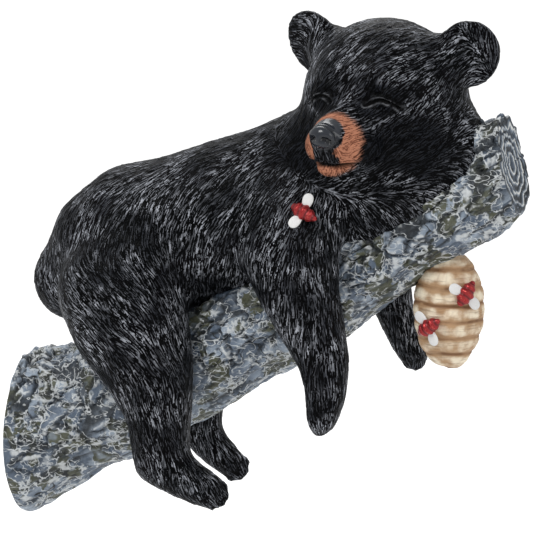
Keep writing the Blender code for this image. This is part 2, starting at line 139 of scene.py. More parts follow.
# Lines cut into the face, in the head's axes: right, forward, up
MOUTH = [(25, 42, -23), (18, 54, -24), (9, 66, -23), (0, 70, -22)]
LIP_CLEFT = [(0, 75, -13), (0, 72, -22)]
LID_CREASE = [(10.5, 42, 8.5), (13.5, 43, 13), (19, 42, 15), (25, 39, 12.5), (31, 33, 5)]
LASH_LINE = [(11.5, 43, 8), (16, 44, 9.8), (21, 43, 9.8), (26, 40, 7.5), (30.5, 34, 4)]
NOSTRIL = [(3.4, 77, -6), (5.8, 76, -6.3), (8.2, 74, -9)]
NOSE_RIM = [(0, 72, 3), (6, 72, 1.8), (9.8, 70, -3), (9, 70, -9), (5, 72, -12.5), (0, 73, -13)]
# The lines with their width, depth and darkness; the dark is their paint and painted shade in them
FACE_LINES = (
    (MOUTH, 1.2, 2.2, 1.0),
    (LIP_CLEFT, 1.0, 1.2, 0.8),
    (LASH_LINE, 0.9, 1.6, 1.0),
    (LID_CREASE, 1.0, 1.3, 0.7),
    (NOSTRIL, 1.5, 2.4, 1.0),
    (NOSE_RIM, 1.0, 0.8, 0.5),
)
LID_GLINT = (1.5, 0.5)  # painted highlight along the lids: distance from the lash line, half its width
NOSE_PAD = (-5.2, 8.9, 7.7)  # up, half width, half height
TAN_UP = -11  # the middle of the tan round the muzzle
# Soft dents and swellings of the face: right, up, radius, height
FACE_FORMS = [
    (19, 9, 9.5, -2.6),
    (19, 22, 8.0, 1.5),
    (7, 8, 5.0, -0.8),
    (30, -12, 11.0, 1.2),
]

# How the coat lies: a place on the near side, and the way the hair runs there
COMB = [
    ((60, -15, 165), (-0.8, -0.4, -0.35)),
    ((120, -15, 178), (-0.9, -0.35, -0.2)),
    ((170, -15, 185), (-0.8, -0.5, -0.2)),
    ((130, -45, 150), (-0.6, -0.3, -0.75)),
    ((140, -50, 115), (-0.25, 0, -1)),
    ((145, -45, 80), (0.1, 0, -1)),
    ((75, -60, 140), (-0.35, -0.2, -0.9)),
    ((100, -68, 117), (0.55, 0, -0.85)),
    ((38, -20, 95), (0.4, -0.8, -0.45)),
    ((60, -60, 95), (0.8, -0.2, -0.5)),
    ((90, -68, 80), (0.8, 0, -0.6)),
    ((112, -60, 77), (0.6, 0, -0.8)),
    ((100, -58, 30), (0.15, 0, -1)),
    ((103, -58, 0), (0.1, 0, -1)),
    ((125, -58, -20), (0.7, 0, -0.7)),
    ((20, -5, 115), (-0.1, -0.1, -1)),
    ((25, -30, 130), (-0.5, -0.4, -0.8)),
    ((184, -62, 150), (-0.45, -0.1, -0.9)),
    ((172, -60, 115), (-0.35, 0, -1)),
    ((190, -58, 80), (0.05, 0, -1)),
    ((198, -58, 45), (0.1, 0, -1)),
    ((200, -58, 20), (0, 0, -1)),
    ((215, -50, 115), (0.15, 0, -1)),
    ((240, -35, 130), (0.5, 0.2, -0.8)),
]
COMB_REACH = 20

# Bees. On the cub: a place beside it that looks along Y at the coat, as x, across, over the bark
SHOULDER_BEE = (188, -110, 14)
SHOULDER_BEE_HEADING = (0.9, 0.0, -0.45)
# On the hive: the way they face round it, height as a share of the hive's, and heading
HIVE_BEES = [
    ((0.68, -0.73), 0.685, (0.45, 0.35, 0.75)),
    ((-0.21, -0.978), 0.41, (0.80, -0.2, 0.55)),
]
BEE_RIBS = 4
WING_SPREAD = math.radians(105)  # from the tail of the bee to each wing

# Marks on the branch: distance from the trunk, angle round it from the far side over the top,
# radius and height, in millimetres
BRANCH_MARKS = [
    (283, math.radians(112), 6.5, 3.0),
    (279, math.radians(143), 2.2, -2.6),
    (221, math.radians(173), 2.4, -2.6),
]
PLATE_RING = 0.033 * SIZE  # radius of the ring on which the bark plates are laid out
# The bark's finer relief: heights, and the sizes of the lumps of noise that give them
CRUMB_HEIGHT, CRUMB_GRAIN = 0.00055 * SIZE, 0.0045 * SIZE
FINE_HEIGHT, FINE_GRAIN = 0.0004 * SIZE, 0.0021 * SIZE
GROOVE_HEIGHT, GROOVE_GRAIN = 0.0010 * SIZE, 0.0024 * SIZE
GROOVE_SINK = 0.0003 * SIZE
BARK_TOP = 0.0028 * SIZE  # no bark stands higher over the branch's own round
BARK_SINK = 0.0002 * SIZE
BARK_FADE = 0.006 * SIZE  # from the trunk face to full relief
UNDER_GRAIN = 0.03 * SIZE  # how raggedly the grooved underside begins
RIDGE_TURN = 0.0015 * SIZE, 0.0036 * SIZE  # how closely lumps and ridges follow round it
RIDGE_STRETCH = 22, 30  # how far lumps and ridges run along it

# The photograph: pixels across it, and its middle from the figure's origin, as pixels to the
# right and up, and a distance towards the camera
PHOTO_WIDTH = 533
PHOTO_MIDDLE = (242.5, 169.5, 0.065 * SIZE)
SENSOR = 36  # width of the camera's sensor, in millimetres

# Looks of the materials
HAIR_SAMPLES = 9
# painted highlight along the lids
LID_GLINT_GREY = (0.26, 0.27, 0.29)
# dark paint of the carved lines, also painted shade in them
LINE_BLACK_AND_SHADE = (0.001, 0.001, 0.001)
WOOD_WHITE = (0.86, 0.87, 0.84)
# grey of specks of wear on the wings, and of painted shade at their roots
GREY_OF_WEAR_AND_SHADE = (0.42, 0.40, 0.38)
# The paint threads' noise, and the coarser noise of the patches that they lie in
THREAD_TURN = (0.4, 0.5, 0.3)
THREAD_PATCHES = 0.45
THREAD_PATCH_TURN = (0.9, 0.2, 0.6)


def length(name, description, default):
    """A size in the panel, given for a figure 30 cm across."""
    return FloatProperty(
        name=name, description=description, default=default * SIZE, min=0.0001 * SIZE,
        precision=4, subtype="DISTANCE", unit="LENGTH",
    )


def share(name, description, default):
    return FloatProperty(name=name, description=description, default=default, min=0, max=1,
                         subtype="FACTOR")


def angle(name, description, degrees):
    return FloatProperty(name=name, description=description, default=math.radians(degrees),
                         subtype="ANGLE", unit="ROTATION")


def colour(name, description, default):
    return FloatVectorProperty(name=name, description=description, default=default, min=0, max=1,
                               size=3, subtype="COLOR")


class BranchLook(bpy.types.PropertyGroup):
    """Sizes and paints of the branch."""

    reach: length("Reach", "Trunk face to the middle of the sawn tip, along X", 0.294)
    rise: length("Rise", "Height of the tip's middle over the trunk face's", 0.175)
    sag: length("Sag", "Dip of the middle line at mid length", 0.0095)
    butt_radius: length("Butt radius", "Radius at the trunk", 0.039)
    tip_radius: length("Tip radius", "Radius at the sawn tip", 0.026)
    butt_flare: length("Flare", "Extra radius where the branch meets the trunk", 0.0065)
    flare_length: length("Flare length", "How far the flare fades out", 0.018)
    butt_round: length("Butt rounding", "Rounding round the trunk face", 0.004)
    tip_round: length("Tip rounding", "Rounding round the sawn tip", 0.0015)
    lean_length: length("Lean length", "Where the rings turn to lie square to an end", 0.035)
    tip_tilt: angle("Tip tilt", "How far the sawn tip looks up", 12.5)
    relief: length("Relief", "Height of the long ridges and lumps", 0.0036)
    plate_length: length("Plate length", "Length of a bark plate", 0.013)
    plate_width: length("Plate width", "Width of a bark plate", 0.0085)
    plate_height: length("Plate height", "How far the plates stand over the cracks", 0.0018)
    slate: colour("Slate", "Main paint of the bark", (0.115, 0.155, 0.215))
    pale: colour("Pale slate", "Lighter paint brushed over it", (0.36, 0.43, 0.52))
    olive: colour("Olive", "Mossy wash in patches", (0.085, 0.088, 0.040))
    # Crack: dark paint of thin lines and blotches, also laid as painted shade into the cracks, holes,
    # underside grooves and the sawn tip's grooves
    crack: colour("Crack", "Dark wash in the cracks", (0.012, 0.016, 0.020))
    edge: colour("Edge", "Dry-brushed white on the plates' edges", (0.72, 0.75, 0.76))


class CubLook(bpy.types.PropertyGroup):
    """Sizes and paints of the cub."""

    mass_grain: length("Mass grain", "Grain of the skin that joins the big masses", 0.0036)
    skin_grain: length("Skin grain", "Grain of the finished skin", 0.0016)
    head_turn: angle("Head turn", "The face turned from straight towards -Y", -11.5)
    head_nod: angle("Head nod", "The face nodded from level", 5)
    lock_length: length("Lock length", "Length of a carved lock", 0.0105)
    lock_width: length("Lock width", "Width of a carved lock", 0.0036)
    lock_depth: length("Lock depth", "How deep the locks are carved", 0.0008)
    hair_length: length("Hair length", "Length of a carved hair", 0.0030)
    hair_depth: length("Hair depth", "How deep the hairs are carved", 0.00034)
    black: colour("Black", "Paint of the coat", (0.0006, 0.0007, 0.0010))
    # Painted sheen: a grey-blue highlight painted on the hairs of the locks' crests
    painted_sheen: colour("Sheen", "Paint on the sides of the hairs", (0.013, 0.015, 0.020))
    # Dry brush and painted glints: pale paint on the hairs' crests, partly dry brush and partly
    # painted highlights
    dry_brush_and_glints: colour("Dry brush", "Pale paint on the crests of the hairs", (0.44, 0.46, 0.51))
    tan: colour("Tan", "Paint of the muzzle", (0.50, 0.215, 0.130))
    deep_tan: colour("Deep tan", "Darker hairs in the muzzle", (0.17, 0.055, 0.032))
    nose: colour("Nose", "Paint of the nose", (0.020, 0.024, 0.032))


class HiveLook(bpy.types.PropertyGroup):
    """Sizes and paints of the hive."""

    height: length("Height", "Height of the hive", 0.0675)
    radius: length("Radius", "Largest radius", 0.0205)
    bands: IntProperty(name="Bands", description="Coils from bottom to top", default=7, min=3)
    band_relief: length("Band relief", "Depth of the grooves between the coils", 0.0011)
    from_tip: length("From tip", "Distance from the branch's tip, along X", 0.0365)
    sink: length("Sink", "How far the top goes into the branch", 0.002)
    stub_radius: length("Stub radius", "Radius of the knot that the hive hangs from", 0.0085)
    straw: colour("Straw", "Main paint", (0.52, 0.32, 0.17))
    # Light straw: painted highlights on the coils' crowns
    light: colour("Light straw", "Dry-brushed paint on the coils", (1.0, 0.88, 0.68))
    # Brown: streaks in the straw, and painted shade in the grooves and nicks
    brown: colour("Brown", "Wash in the grooves", (0.16, 0.065, 0.018))


class BeeLook(bpy.types.PropertyGroup):
    """Sizes and paints of the bees."""

    length: length("Length", "Head to tail", 0.0165)
    radius: length("Radius", "Radius of the body", 0.0042)
    sink: length("Sink", "How far a bee goes into what it sits on", 0.0016)
    wing_length: length("Wing length", "Root to end", 0.0100)
    wing_width: length("Wing width", "Across the wing", 0.0074)
    wing_thickness: length("Wing thickness", "Through the wing", 0.0024)
    red: colour("Red", "Paint of the body", (0.36, 0.022, 0.026))
    white: colour("White", "Paint of the wings", (0.86, 0.86, 0.85))


class StageLook(bpy.types.PropertyGroup):
    """Floor, light and camera."""

    drop: length("Drop", "Floor below the lowest point", 0.34)
    floor_paint: colour("Floor", "Paint of the floor", (0.93, 0.93, 0.93))
    azimuth: angle("Azimuth", "Camera, round the figure", 20)
    elevation: angle("Elevation", "Camera, above the horizon", 10)
    distance: length("Distance", "Camera to the middle of the figure", 2.0)
    pixel: length("Pixel", "Width on the figure of one pixel of the 533 across", 0.000574)
    key: FloatProperty(name="Key light", description="Power of the large light", default=20,
                       unit="POWER")
    sky: share("Sky", "Brightness of the soft light from all sides", 0.55)


# Numbers for many vertices at once


def smooth_share(low, high, value):
    """0 below low, 1 above high, with a soft step between."""
    t = np.clip((value - low) / (high - low), 0, 1)
    return t * t * (3 - 2 * t)


def noise_at(places, lump):
    """Noise from about -1 to 1 at each place, with lumps of this size."""
    return np.array([noise.noise(Vector(place)) for place in places / lump])


def distance_to_path(places, path):
    """Distance from each place to the nearest point of a path of straight pieces."""
    nearest = np.full(len(places), np.inf)
    for start, end in zip(np.array(path[:-1], float), np.array(path[1:], float)):
        run = end - start
        along = np.clip((places - start) @ run / (run @ run), 0, 1)
        away = places - start - along[:, None] * run
        nearest = np.minimum(nearest, np.linalg.norm(away, axis=1))
    return nearest


def read_vectors(mesh, name):
    """The vertices' places or normals, a row for each."""
    vectors = np.empty(len(mesh.vertices) * 3, np.float32)
    mesh.vertices.foreach_get(name, vectors)
    return vectors.reshape(-1, 3).astype(float)


def read_places(mesh):
    return read_vectors(mesh, "co")


def read_normals(mesh):
    return read_vectors(mesh, "normal")


def write_places(mesh, places):
    mesh.vertices.foreach_set("co", places.astype(np.float32).ravel())
    mesh.update()


def write_mask(mesh, name, values):
    mask = mesh.attributes.new(name, "FLOAT", "POINT")
    mask.data.foreach_set("value", np.asarray(values, np.float32))


def write_arrows(mesh, name, vectors):
    arrows = mesh.attributes.new(name, "FLOAT_VECTOR", "POINT")
    arrows.data.foreach_set("vector", vectors.astype(np.float32).ravel())


# Meshes and objects


def object_of(name, bm):
    mesh = bpy.data.meshes.new(name)
    bmesh.ops.recalc_face_normals(bm, faces=bm.faces[:])
    bm.to_mesh(mesh)
    bm.free()
    obj = bpy.data.objects.new(name, mesh)
    bpy.context.scene.collection.objects.link(obj)
    return obj


def apply_modifiers(obj):
    graph = bpy.context.evaluated_depsgraph_get()
    mesh = bpy.data.meshes.new_from_object(obj.evaluated_get(graph))
    obj.modifiers.clear()
    obj.data = mesh
    mesh.name = obj.name
    return obj


def make_skin(obj, grain, steps):
    """One closed skin round all the shapes in a mesh, with the creases between them softened."""
    skin = obj.modifiers.new("skin", "REMESH")
    skin.mode = "VOXEL"
    skin.voxel_size = grain
    soften = obj.modifiers.new("soften", "SMOOTH")
    soften.factor = 0.5
    soften.iterations = steps
    return apply_modifiers(obj)


def finish_piece(obj, material):
    """A shaded piece that rides on the figure and stands for its casting."""
    obj.data.materials.clear()
    obj.data.materials.append(material)
    obj.data.shade_smooth()
    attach(obj, "root")
    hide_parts(FIGURE)


def matrix_of(*columns):
    return Matrix([[column[row] for column in columns] for row in range(3)] + [[0, 0, 0, 1]])


def ring_matrix(centre, tangent, half_width, half_height):
    """Places a unit circle across a path. Its width lies as near to Y as the path allows."""
    along = tangent.normalized()
    across = (Vector((0, 1, 0)) - along.y * along).normalized()
    upward = along.cross(across)
    return matrix_of(across * half_width, upward * half_height, along, centre)


def add_mesh_of(bm, made):
    """Joins one small mesh to a large one, and frees it."""
    mesh = bpy.data.meshes.new("part")
    made.to_mesh(mesh)
    made.free()
    bm.from_mesh(mesh)
    bpy.data.meshes.remove(mesh)


def add_ring(bm, matrix, sides):
    """A unit circle at a matrix's place. Returns its edges."""
    made = bmesh.ops.create_circle(bm, segments=sides, radius=1, matrix=matrix)
    return list({edge for vert in made["verts"] for edge in vert.link_edges})


def join_rings(bm, loops):
    """A tube through the rings, closed at both ends."""
    for first, second in zip(loops, loops[1:]):
        bmesh.ops.bridge_loops(bm, edges=first + second)
    for end in (loops[0], loops[-1]):
        bmesh.ops.contextual_create(bm, geom=end)


def loft(joined, rings, sides=48):
    """A closed skin through rings of (centre, half width, half height), with round ends."""
    bm = bmesh.new()
    centres = [ring[0] for ring in rings]
    loops = []
    for i, (centre, half_width, half_height) in enumerate(rings):
        tangent = centres[min(i + 1, len(rings) - 1)] - centres[max(i - 1, 0)]
        matrix = ring_matrix(centre, tangent, half_width, half_height)
        loops.append(add_ring(bm, matrix, sides))
        if i in (0, len(rings) - 1):
            end = Matrix.Diagonal((1, 1, min(half_width, half_height), 1))
            bmesh.ops.create_uvsphere(
                bm, u_segments=sides, v_segments=sides // 2, radius=1, matrix=matrix @ end
            )
    join_rings(bm, loops)
    add_mesh_of(joined, bm)


def ball(joined, radii, matrix, sides=48):
    """An ellipsoid at a matrix's place, its radii along the matrix's axes."""
    bm = bmesh.new()
    bmesh.ops.create_uvsphere(
        bm, u_segments=sides, v_segments=sides // 2, radius=1,
        matrix=matrix @ Matrix.Diagonal((*radii, 1)),
    )
    add_mesh_of(joined, bm)


def turned(outline, steps):
    """A closed skin from an outline of (radius, height), turned round the Z axis."""
    bm = bmesh.new()
    verts = [bm.verts.new((radius, 0, height)) for radius, height in outline]
    edges = [bm.edges.new(pair) for pair in zip(verts, verts[1:])]
    bmesh.ops.spin(bm, geom=verts + edges, cent=(0, 0, 0), axis=(0, 0, 1), angle=2 * math.pi,
                   steps=steps, use_merge=True)
    bmesh.ops.remove_doubles(bm, verts=bm.verts[:], dist=WELD)
    return bm


def set_verts(bm, places, masks):
    """Moves the vertices to their places and gives them their masks."""
    layers = [bm.verts.layers.float.new(name) for name in masks]
    for vert, place, *values in zip(bm.verts, places, *masks.values()):
        vert.co = place
        for layer, value in zip(layers, values):
            vert[layer] = value


def tree_of(points):
    tree = kdtree.KDTree(len(points))
    for number, point in enumerate(points):
        tree.insert(point, number)
    tree.balance()
    return tree


# Branch


class BranchLine:
    """The branch's middle line and thickness, which the cub, hive and bees are set out from."""

    def __init__(self, look):
        self.look = look

    def middle(self, x):
        t = x / self.look.reach
        return self.look.rise * t - 4 * self.look.sag * t * (1 - t)

    def slope(self, x):
        t = x / self.look.reach
        return (self.look.rise - 4 * self.look.sag * (1 - 2 * t)) / self.look.reach

    def radius(self, x):
        look = self.look
        flare = look.butt_flare * np.exp(-np.maximum(x, 0) / look.flare_length)
        return look.butt_radius + (look.tip_radius - look.butt_radius) * x / look.reach + flare

    def lean(self, x):
        """How far a ring's plane leans: upright at the trunk, as the saw cut at the tip."""
        look = self.look
        from_trunk = np.minimum(1, x / look.lean_length)
        from_tip = np.minimum(1, (look.reach - x) / look.lean_length)
        slope = np.arctan(self.slope(x))
        return slope * from_trunk * from_tip + look.tip_tilt * (1 - from_tip)

    def over(self, x, y, height):
        """A place over the bark, from millimetres."""
        x *= MM
        return Vector((x, y * MM, self.middle(x) + self.radius(x) + height * MM))

    def beside(self, side, x, outset, up):
        x *= MM
        across = side * (self.radius(x) + outset * MM)
        return Vector((x, across, self.middle(x) + up * MM))


def branch_rows(look):
    """Rows of the skin from the middle of the cut face to the middle of the sawn tip.

    Each is the distance from the trunk, the share of the radius, the inset and the relief.
    """
    butt_steps, steps, tip_steps = 14, 262, 34
    rows = [(0, i / butt_steps, look.butt_round, 0) for i in range(butt_steps)]
    rows += [
        (0, 1, look.butt_round, 0),
        (look.butt_round * 0.3, 1, look.butt_round * 0.3, 0.5),
        (look.butt_round, 1, 0, 1),
    ]
    first, last = look.butt_round, look.reach - look.tip_round * 0.3
    rows += [(first + (last - first) * i / steps, 1, 0, 1) for i in range(1, steps)]
    rows += [(last, 1, look.tip_round * 0.3, 1), (look.reach, 1, look.tip_round, 1)]
    rows += [
        (look.reach, 1 - i / tip_steps, look.tip_round, 1) for i in range(1, tip_steps + 1)
    ]
    return np.array(rows)


def bark_cells(places, look):
    """Bark plates: how near each place is to a crack, and its plate's own level and tilt."""
    rng = np.random.default_rng(7)
    rows = round(look.reach * 1.2 / look.plate_length)
    columns = round(2 * math.pi * PLATE_RING / look.plate_width)
    seeds = []
    for row in range(-1, rows + 1):
        for column in range(columns):
            along = (row + rng.uniform(-0.1, 1.1)) * look.plate_length
            turn = (column + rng.uniform(-0.1, 1.1) + 0.5 * row) * 2 * math.pi / columns
            across, up = PLATE_RING * math.cos(turn), PLATE_RING * math.sin(turn)
            seeds.append((along, across, up))
    stretch = look.plate_width / look.plate_length
    seeds = np.array(seeds) * (stretch, 1, 1)
    shift = np.stack([
        0.0042 * noise_at(places + k * 0.37, 0.010 * SIZE)
        + 0.0013 * noise_at(places + k * 0.53, 0.0028 * SIZE)
        for k in range(3)
    ], axis=1)
    spots = (places + shift * SIZE) * (stretch, 1, 1)
    tree = tree_of(seeds)
    nearest = [tree.find_n(spot, 2) for spot in spots]
    home = np.array([pair[0][1] for pair in nearest])
    gap = np.array([pair[1][2] - pair[0][2] for pair in nearest]) / look.plate_width
    level = rng.uniform(-1, 1, len(seeds))[home]
    tilt = rng.uniform(-1, 1, (len(seeds), 3))[home]
    lift = level + ((spots - seeds[home]) * tilt).sum(axis=1) / look.plate_width * 1.6
    return gap, lift


def long_swell(x, wave, rise):
    """Long lumps and ridges that run along the branch."""
    lumps, ridges = (
        noise_at(np.stack([x / stretch, turn * wave, turn * rise], 1), MM * 1)
        for stretch, turn in zip(RIDGE_STRETCH, RIDGE_TURN)
    )
    return lumps + 0.8 * ridges


def with_marks(line, x, turn, bark):
    """Knots and holes laid into the bark's height, and how deep in a hole each place is."""
    hollow = np.zeros(len(x))
    for mark_x, mark_turn, mark_radius, height in BRANCH_MARKS:
        away = np.hypot(
            (x - mark_x * MM) / math.cos(0.5),
            line.radius(x) * np.angle(np.exp(1j * (turn - mark_turn))),
        )
        mound = np.exp(-((away / (mark_radius * MM)) ** 4))
        bark = bark * (1 - 0.7 * mound) + height * MM * mound
        if height < 0:
            hollow = np.maximum(hollow, mound)
    return bark, hollow


def branch_mesh(line):
    look = line.look
    rows = branch_rows(look)
    bm = bmesh.new()
    bmesh.ops.create_grid(bm, x_segments=200, y_segments=len(rows) - 1, size=1)
    flat = np.array([vert.co for vert in bm.verts])
    turn = (flat[:, 0] + 1) * math.pi
    number = np.rint((flat[:, 1] + 1) / 2 * (len(rows) - 1)).astype(int)
    x, across_share, inset, relief = rows[number].T
    wave, rise = np.cos(turn), np.sin(turn)
    seam = np.isclose(turn, 2 * math.pi)
    wave[seam] = 1
    rise[seam] = 0
    around = np.stack([x, line.radius(x) * wave, line.radius(x) * rise], axis=1)
    swell = look.relief * relief * long_swell(x, wave, rise)
    gap, lift = bark_cells(around, look)
    crack = 1 - smooth_share(0.02, 0.20, gap)
    edge = smooth_share(0.06, 0.17, gap) * (1 - smooth_share(0.17, 0.40, gap))
    under = smooth_share(-0.25, 0.25, -0.55 - rise + 0.25 * noise_at(around, UNDER_GRAIN))
    streaks = noise_at(around / (14, 1, 1), GROOVE_GRAIN)
    crumbs = noise_at(around, CRUMB_GRAIN)
    fine = noise_at(around / (2.2, 1, 1), FINE_GRAIN)
    plates = look.plate_height * (0.60 * lift - 0.70 * crack + 0.30 * edge)
    rough = CRUMB_HEIGHT * crumbs + FINE_HEIGHT * fine
    grooves = GROOVE_HEIGHT * streaks - GROOVE_SINK
    fade = np.minimum(1, x / BARK_FADE) * (relief > 0)
    bark = (plates * (1 - 0.75 * under) + rough + grooves * (0.25 + 0.75 * under)) * fade
    bark, hollow = with_marks(line, x, turn, bark)
    radius = line.radius(x) + swell - inset + np.minimum(bark, BARK_TOP) - BARK_SINK
    lean = line.lean(x)
    stretch = 1 / np.cos(np.arctan(line.slope(x)) - lean)
    sideways = radius * wave * across_share
    upward = radius * rise * across_share * stretch
    inward, mark = growth_rings(across_share, wave, rise, x >= look.reach)
    places = np.stack([
        x - np.sin(lean) * upward - np.cos(lean) * inward,
        sideways,
        line.middle(x) + np.cos(lean) * upward - np.sin(lean) * inward,
    ], axis=1)
    set_verts(bm, places, {
        # cracks and holes, which take painted shade
        "crack": np.maximum(crack * fade * (1 - 0.7 * under), hollow),
        "edge": edge * fade,
        "under": under * fade,
        "groove": smooth_share(0.1, 0.6, -streaks) * fade,
        "crumb": 0.5 + 0.5 * (crumbs + fine) / 1.2,
        "level": 0.5 + 0.5 * np.clip(lift, -1, 1),
        "sawn": ((across_share < 1) | (x >= look.reach)).astype(float),
        "ring": mark,
    })
    bmesh.ops.remove_doubles(bm, verts=bm.verts[:], dist=WELD)
    return bm


def growth_rings(across_share, wave, rise, on_tip):
    """Growth rings in the sawn tip: how deep each place lies, and the pale lines between."""
    spots = np.stack([across_share * wave, across_share * rise, across_share * 0], axis=1)
    uneven = across_share * (1 + 0.22 * noise_at(spots, 0.55)) + 0.05 * noise_at(spots, 0.22)
    phase = uneven * 4.6
    crest = np.abs(2 * (phase - np.floor(phase)) - 1) ** 1.6
    rough = 0.5 + 0.5 * noise_at(spots, 0.07)
    inside = on_tip & (across_share < 0.97)
    depth = np.where(inside, (0.0014 * (1 - crest) + 0.0003 * rough) * SIZE, 0)
    depth += np.where(on_tip, 0.0022 * SIZE * np.exp(-((across_share / 0.09) ** 2)), 0)
    return depth, np.where(inside, crest, 0)


def stub_mesh(line, hive):
    """The knot of wood that the hive hangs from, flaring into the branch."""
    x = line.look.reach - hive.from_tip
    top = line.middle(x) - line.radius(x)
    heights = np.linspace(-0.011, 0.004, 16) * SIZE
    spread = hive.stub_radius * (0.86 + 0.35 * np.exp(heights / (0.004 * SIZE) - 1))
    bm = turned([(0, heights[0]), *zip(spread, heights), (0, heights[-1])], 48)
    for vert in bm.verts:
        ridge = noise.noise(Vector((vert.co.x, vert.co.y, vert.co.z / 5)) / (2.5 * MM))
        vert.co.xy *= 1 + 0.07 * ridge
    bmesh.ops.translate(bm, verts=bm.verts[:], vec=(x, 0, top))
    return bm


# Cub


class Head:
    """The head's own axes: right, forward and up of its middle, in millimetres."""

    def __init__(self, line, look):
        turn = Matrix.Rotation(look.head_turn, 4, "Z") @ Matrix.Rotation(look.head_nod, 4, "X")
        self.matrix = Matrix.Translation(line.over(*HEAD_PLACE)) @ turn

    def ball(self, bm, shape, side=1, lean=0.0):
        right, forward, up, *radii = shape
        local = Matrix.Translation(Vector((side * right, -forward, up)) * MM)
        turn = Matrix.Rotation(side * lean, 4, "Y")
        ball(bm, [radius * MM for radius in radii], self.matrix @ local @ turn)

    def place(self, right, forward, up):
        return self.matrix @ (Vector((right, -forward, up)) * MM)

    def axes_of(self, places):
        """Each place as right, forward, up."""
        turn = np.array(self.matrix.to_3x3())
        local = (places - np.array(self.matrix.translation)) @ turn / MM
        return local * (1, -1, 1)


def add_ear(bm, head, side):
    """A rounded ear with a shallow dish in its front."""
    right, forward, up, width, depth, height = EAR
    local = Matrix.Translation(Vector((side * right, -forward, up)) * MM)
    turn = Matrix.Rotation(side * EAR_LEAN, 4, "Y") @ Matrix.Rotation(side * 0.25, 4, "Z")
    for vert in bmesh.ops.create_uvsphere(bm, u_segments=64, v_segments=48, radius=1)["verts"]:
        x, y, z = vert.co
        rim = min(1.0, math.hypot(x, z))
        dish = EAR_DISH * (1 - rim ** 3) if y < 0 else 0
        place = Vector((x * width, y * depth + dish, z * height)) * MM
        vert.co = head.matrix @ local @ turn @ place


def add_muzzle(bm, head):
    loops = []
    for forward, up, half_width, half_height in MUZZLE:
        flat = Matrix.Diagonal((half_width * MM, half_height * MM, 1, 1))
        place = Matrix.Translation(Vector((0, -forward, up)) * MM)
        matrix = head.matrix @ place @ Matrix.Rotation(math.pi / 2, 4, "X") @ flat
        loops.append(add_ring(bm, matrix, 64))
    join_rings(bm, loops)
    head.ball(bm, (0, forward, up, half_width, 6, half_height))


def add_toes(bm, rings, toes):
    """Toes fanned across the end of a paw."""
    count, radius, fan = toes
    in_plane, across_it = TOE_TURN
    middle, less = TOE_REACH
    end, before = rings[-1][0], rings[-2][0]
    along = (end - before).normalized()
    across = Vector((-in_plane * along.z, across_it, in_plane * along.x))
    for i in range(count):
        spread = 2 * i / (count - 1) - 1
        reach = rings[-1][2] * (middle - less * spread * spread)
        place = end + along * reach + across * (spread * fan * MM)
        ball(bm, [radius * MM] * 3, Matrix.Translation(place), sides=32)


def over_rings(line, rows):
    return [(line.over(x, y, h), width * MM, height * MM) for x, y, h, width, height in rows]


def beside_rings(line, side, rows):
    return [
        (line.beside(side, x, out, up), width * MM, height * MM)
        for x, out, up, width, height in rows
    ]


def cub_masses(line, head, grain):
    """The body, limbs and skull, run together softly."""
    bm = bmesh.new()
    loft(bm, over_rings(line, TORSO))
    for side, hind, foot, arm in (
        (-1, NEAR_HIND, NEAR_HIND_FOOT, NEAR_ARM),
        (1, FAR_HIND, FAR_HIND_FOOT, FAR_ARM),
    ):
        for limb in (hind, foot, arm):
            loft(bm, beside_rings(line, side, limb))
        head.ball(bm, CHEEK, side)
    for shape in (SKULL, NECK):
        head.ball(bm, shape)
    for side in (-1, 1):
        head.ball(bm, EAR_ROOT, side)
    add_muzzle(bm, head)
    loft(bm, over_rings(line, TAIL))
    return make_skin(object_of("cub_masses", bm), grain, 10)


def model_face(mesh, head):
    """Presses in the eye sockets and raises the brows and cheeks."""
    places = read_places(mesh)
    right, forward, up = head.axes_of(places).T
    lift = np.zeros(len(places))
    for form_right, form_up, radius, height in FACE_FORMS:
        away = np.hypot(np.abs(right) - form_right, up - form_up) / radius
        lift += height * np.exp(-(away ** 2)) * smooth_share(15, 28, forward)
    write_places(mesh, places + read_normals(mesh) * (lift * MM)[:, None])


def cub_skin(line, head, look):
    """The whole cub as one closed skin, finer over the face."""
    masses = cub_masses(line, head, look.mass_grain)
    model_face(masses.data, head)
    bm = bmesh.new()
    bm.from_mesh(masses.data)
    right, sunk, up, *radii = EYELID
    start = head.place(right, 120, up)
    hit, place, _, _ = masses.ray_cast(start, head.place(right, 0, up) - start)
    if not hit:
        raise RuntimeError("The eyelid misses the face")
    forward = head.axes_of(np.array([place]))[0][1] - sunk
    bpy.data.objects.remove(masses)
    for shape in (CHIN, NOSE):
        head.ball(bm, shape)
    for side in (-1, 1):
        add_ear(bm, head, side)
        head.ball(bm, (right, forward, up, *radii), side, EYELID_TILT)
        head.ball(bm, SNOUT_SIDE, side)
    for side, foot, arm in ((-1, NEAR_HIND_FOOT, NEAR_ARM), (1, FAR_HIND_FOOT, FAR_ARM)):
        add_toes(bm, beside_rings(line, side, foot), HIND_TOES)
        add_toes(bm, beside_rings(line, side, arm), FORE_TOES)
    skin = make_skin(object_of("cub", bm), look.skin_grain, 5)
    bm = bmesh.new()
    bm.from_mesh(skin.data)
    local = head.axes_of(np.array([vert.co for vert in bm.verts]))
    on_face = (local[:, 1] > 30) & (np.abs(local[:, 0]) < 34) & (np.abs(local[:, 2] + 3) < 27)
    chosen = {vert for vert, chosen in zip(bm.verts, on_face) if chosen}
    edges = [edge for edge in bm.edges if chosen.issuperset(edge.verts)]
    bmesh.ops.subdivide_edges(bm, edges=edges, cuts=1, use_grid_fill=True, smooth=0.6)
    bm.to_mesh(skin.data)
    bm.free()
    return skin


